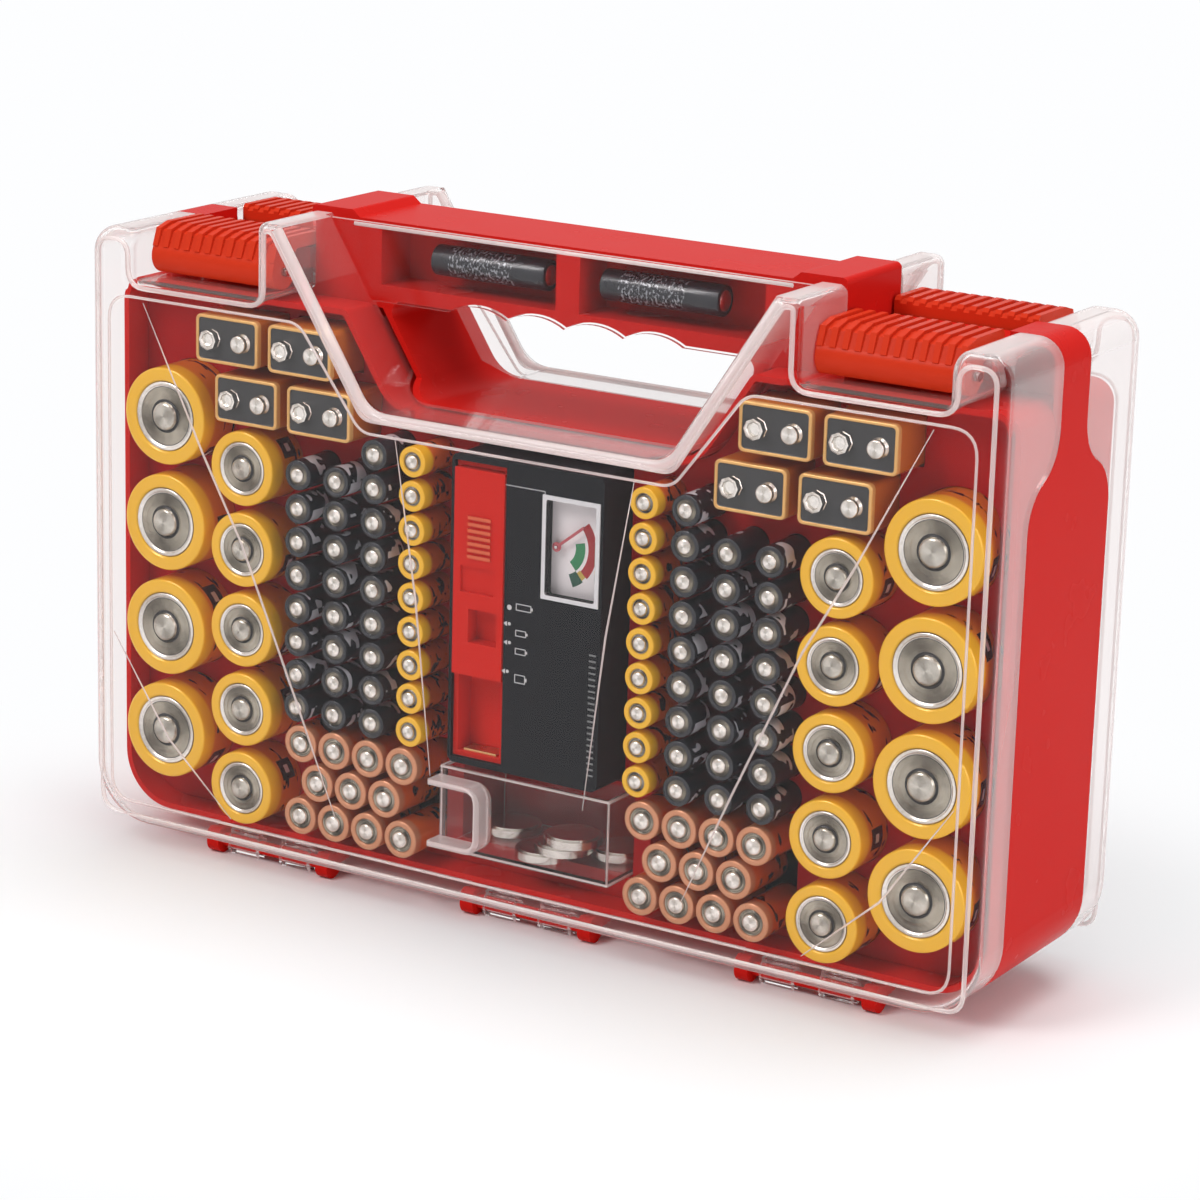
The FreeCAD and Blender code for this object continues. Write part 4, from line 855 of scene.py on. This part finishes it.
# plain marks on the tester's face: small cell outlines, dots and arrows beside the channel, ticks down the
# margin; dots, arrows, outlines and rules are in mm
testerFace = {
    "tickCount": 21,
    "tickPitch": 2.05 * mm,
    "tickLow": 60.5 * mm,
    "tickThick": 0.6 * mm,
    "tickInset": (4.2 * mm, 1.6 * mm),
    "tickDepth": 0.1 * mm,
    "lift": 0.05 * mm,
    "inkDepth": 0.05 * mm,
    "dots": [(-5.9, 112.6, 0.9), (-5.8, 107.0, 0.6), (-5.6, 100.6, 0.6), (-6.2, 90.6, 0.6)],
    "arrows": [(-6.6, 106.9), (-6.4, 100.5), (-7.0, 90.5)],
    "arrow": [(-1.6, 0.0), (-0.1, 0.9), (-0.1, -0.9)],
    "outlines": [(-3.4, 0.8, 103.2, 105.4), (-3.4, 0.8, 97.0, 99.2), (-3.4, 0.8, 87.2, 90.2),
                 (-3.4, 2.6, 112.0, 114.4)],
    "nubWide": 0.6 * mm,
    "nubSpan": (0.3, 0.7),  # share of the outline's height
    "rules": [(-10.1, 6.8, 153.6, 153.85), (6.8, 7.05, 152.2, 153.85)],
    "line": 0.3 * mm,
}


def flatBar(work, x0, x1, z0, z1, y, thick, material=0):
    corners = [(x0, z0), (x1, z0), (x1, z1), (x0, z1)]
    front = [work.verts.new((x, y, z)) for x, z in corners]
    back = [work.verts.new((x, y + thick, z)) for x, z in corners]
    faces = [work.faces.new(front), work.faces.new(back[::-1])]
    for i in range(4):
        j = (i + 1) % 4
        faces.append(work.faces.new((front[i], back[i], back[j], front[j])))
    for face in faces:
        face.material_index = material


def disc(work, x, z, y, radius, steps=20):
    turns = [2.0 * math.pi * i / steps for i in range(steps)]
    work.faces.new([work.verts.new((x + radius * math.cos(t), y, z + radius * math.sin(t))) for t in turns])


def makeTesterMarks():
    v = testerFace
    low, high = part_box("tester_housing")
    y = low.y - v["lift"]
    work = bmesh.new()
    outer, inner = v["tickInset"]
    for i in range(v["tickCount"]):
        z = v["tickLow"] + i * v["tickPitch"]
        flatBar(work, high.x - outer, high.x - inner, z, z + v["tickThick"], y, v["tickDepth"], 1)
    for x, z, radius in v["dots"]:
        disc(work, x * mm, z * mm, y, radius * mm)
    for x, z in v["arrows"]:
        work.faces.new([work.verts.new(((x + a) * mm, y, (z + b) * mm)) for a, b in v["arrow"]])
    t = v["line"]
    for outline in v["outlines"]:
        x0, x1, z0, z1 = (edge * mm for edge in outline)
        n0, n1 = (z0 + (z1 - z0) * share for share in v["nubSpan"])
        for bar in ((x0, x1, z0, z0 + t), (x0, x1, z1 - t, z1), (x0, x0 + t, z0, z1), (x1 - t, x1, z0, z1),
                    (x1, x1 + v["nubWide"], n0, n1)):
            flatBar(work, *bar, y, v["inkDepth"])
    for rule in v["rules"]:
        flatBar(work, *(edge * mm for edge in rule), y, v["inkDepth"])
    addPiece("testerMarks", work, "case", None, ("inkWhite", "inkGrey"))


# white frame round the meter's window
bezel = {"wide": 1.5 * mm, "proud": 0.45 * mm}


def makeBezel():
    low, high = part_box("meter_lens")
    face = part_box("tester_housing")[0].y
    wide, proud = bezel["wide"], bezel["proud"]
    work = bmesh.new()
    x0, x1, z0, z1 = low.x - wide, high.x + wide, low.z - wide, high.z + wide
    for bar in ((x0, x1, z0, low.z), (x0, x1, high.z, z1),
                (x0, low.x, low.z, high.z), (high.x, x1, low.z, high.z)):
        flatBar(work, *bar, face - proud, proud)
    addPiece("meterFrame", work, "case", None, ("bezelWhite",))


# painted highlight: pale bars where the crowns of the slide's ribs catch the light
slideRibs = {
    "count": 7, "below": 30.0 * mm, "pitch": 2.2 * mm, "thick": 1.1 * mm,
    "left": 5.8 * mm, "right": 14.8 * mm, "lift": 0.03 * mm, "depth": 0.02 * mm,
}


def makeSlideRibs():
    v = slideRibs
    low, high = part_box("tester_slide")
    work = bmesh.new()
    for i in range(v["count"]):
        z = high.z - v["below"] + i * v["pitch"]
        flatBar(work, low.x + v["left"], low.x + v["right"], z, z + v["thick"], low.y - v["lift"], v["depth"])
    addPiece("slideRibs", work, "tester_slide", None, ("ribCrownHighlight",))


# coloured fields of the dial: inner and outer radius in mm, start and end in degrees, look
dialFields = [
    (11.0, 14.3, -42.0, 40.0, "dialRed"),
    (6.2, 9.8, -50.0, 14.0, "dialGreen"),
    (10.6, 13.6, -50.0, -42.0, "dialYellow"),
    (9.8, 14.2, -68.0, -50.0, "dialDark"),
]
dialLift = 0.06 * mm


def arcPatch(work, centre, inner, outer, start, end, y, slot, steps=16):
    rows = []
    for i in range(steps + 1):
        angle = math.radians(start + (end - start) * i / steps)
        rows.append([work.verts.new((centre[0] + r * math.cos(angle), y, centre[1] + r * math.sin(angle)))
                     for r in (inner, outer)])
    for a, b in zip(rows, rows[1:]):
        face = work.faces.new((a[0], a[1], b[1], b[0]))
        face.material_index = slot


def makeDialMarks():
    low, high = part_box("meter_dial")
    pivotLow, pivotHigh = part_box("meter_pivot")
    centre = ((pivotLow.x + pivotHigh.x) / 2.0, (pivotLow.z + pivotHigh.z) / 2.0)
    looks = ("dialRed", "dialGreen", "dialDark", "dialYellow")
    work = bmesh.new()
    for inner, outer, start, end, look in dialFields:
        arcPatch(work, centre, inner * mm, outer * mm, start, end, low.y - dialLift, looks.index(look))
    addPiece("dialMarks", work, "case", None, looks)


# floor and lights
studio = {
    "floorSize": 8.0,
    "floor": (0.965, 0.968, 0.975),
    "floorDim": 0.985,
    "floorRough": 0.75,
    "cloudScale": 2.0,
    "paper": (0.985, 0.99, 1.0),  # what the floor fades to further out
    "fadeStart": 0.15,
    "fadeEnd": 0.31,
    "aim": (0.0, 0.0, 0.1),
    "world": (0.30, 0.303, 0.31),
    "mirrored": 0.35,  # share of the white surround that gloss picks up
    "lamps": [
        {"name": "keyLamp", "place": (-0.9, -1.5, 1.9), "size": 1.0, "power": 27.0},
        {"name": "topLamp", "place": (0.2, 0.3, 1.9), "size": 1.3, "power": 20.0},
        {"name": "sideLamp", "place": (1.9, -0.4, 0.9), "size": 1.0, "power": 12.0},
    ],
}


def makeStudio():
    s = Shader("paperFloor")
    cloud = s.noise(s.place(), studio["cloudScale"], 2.0)
    shader = s.principled(Roughness=studio["floorRough"])
    dim = tuple(c * studio["floorDim"] for c in studio["floor"])
    s.link(s.mix(cloud, dim, studio["floor"]), shader.inputs["Base Color"])
    mesh = bpy.data.meshes.new("studioFloor")
    half = studio["floorSize"] / 2.0
    corners = [(-half, -half, 0), (half, -half, 0), (half, half, 0), (-half, half, 0)]
    mesh.from_pydata(corners, [], [(0, 1, 2, 3)])
    far = s.node("ShaderNodeVectorMath", operation="LENGTH")
    s.link(s.place(), far.inputs[0])
    fade = s.node("ShaderNodeMapRange", interpolation_type="SMOOTHSTEP")
    fade.inputs["From Min"].default_value = studio["fadeStart"]
    fade.inputs["From Max"].default_value = studio["fadeEnd"]
    s.link(far.outputs["Value"], fade.inputs["Value"])
    path = s.node("ShaderNodeLightPath")
    seen = s.maths("MAXIMUM", path.outputs["Is Camera Ray"], path.outputs["Is Transmission Ray"])
    paper = s.node("ShaderNodeEmission")
    paper.inputs["Color"].default_value = (*studio["paper"], 1.0)
    whole = s.node("ShaderNodeMixShader")
    s.link(s.maths("MULTIPLY", seen, fade.outputs["Result"]), whole.inputs["Fac"])
    s.link(shader.outputs["BSDF"], whole.inputs[1])
    s.link(paper.outputs["Emission"], whole.inputs[2])
    mesh.materials.append(s.finish(whole.outputs["Shader"]))
    floor = bpy.data.objects.new("studioFloor", mesh)
    bpy.context.scene.collection.objects.link(floor)
    world = bpy.data.worlds.new("studioWorld")
    bpy.context.scene.world = world
    world.use_nodes = True
    tree = world.node_tree
    tree.nodes.clear()
    path = tree.nodes.new("ShaderNodeLightPath")
    soft = tree.nodes.new("ShaderNodeMath")
    soft.operation = "MULTIPLY"
    tree.links.new(path.outputs["Is Glossy Ray"], soft.inputs[0])
    soft.inputs[1].default_value = studio["mirrored"]
    seen = soft
    for ray in ("Is Camera Ray", "Is Transmission Ray"):
        either = tree.nodes.new("ShaderNodeMath")
        either.operation = "MAXIMUM"
        tree.links.new(path.outputs[ray], either.inputs[0])
        tree.links.new(seen.outputs[0], either.inputs[1])
        seen = either
    blend = tree.nodes.new("ShaderNodeMix")
    blend.data_type = "RGBA"
    tree.links.new(seen.outputs[0], blend.inputs["Factor"])
    blend.inputs["A"].default_value = (*studio["world"], 1.0)
    blend.inputs["B"].default_value = (1.0, 1.0, 1.0, 1.0)
    background = tree.nodes.new("ShaderNodeBackground")
    tree.links.new(blend.outputs["Result"], background.inputs["Color"])
    out = tree.nodes.new("ShaderNodeOutputWorld")
    tree.links.new(background.outputs["Background"], out.inputs["Surface"])
    for lamp in studio["lamps"]:
        data = bpy.data.lights.new(lamp["name"], "AREA")
        data.size = lamp["size"]
        data.energy = lamp["power"]
        made = bpy.data.objects.new(lamp["name"], data)
        made.location = lamp["place"]
        aim = Vector(studio["aim"]) - Vector(lamp["place"])
        made.rotation_euler = aim.to_track_quat("-Z", "Y").to_euler()
        bpy.context.scene.collection.objects.link(made)
    bpy.context.scene.view_settings.view_transform = "Standard"


print("camera and studio")
makeCamera()
makeStudio()
print("finishes of the case")
dressNodes()
print("cells")
for number, (nodeName, cellValues) in enumerate(roundCells.items()):
    makeRoundCells(nodeName, cellValues, number)
makeSquareCells()
print("lid lines")
makeLidLines("frontLidLines", "front_lid", -1)
makeLidLines("backLidLines", "back_lid", 1)
makeDrawerLines()
print("tester")
makeTesterMarks()
makeBezel()
makeSlideRibs()
makeDialMarks()
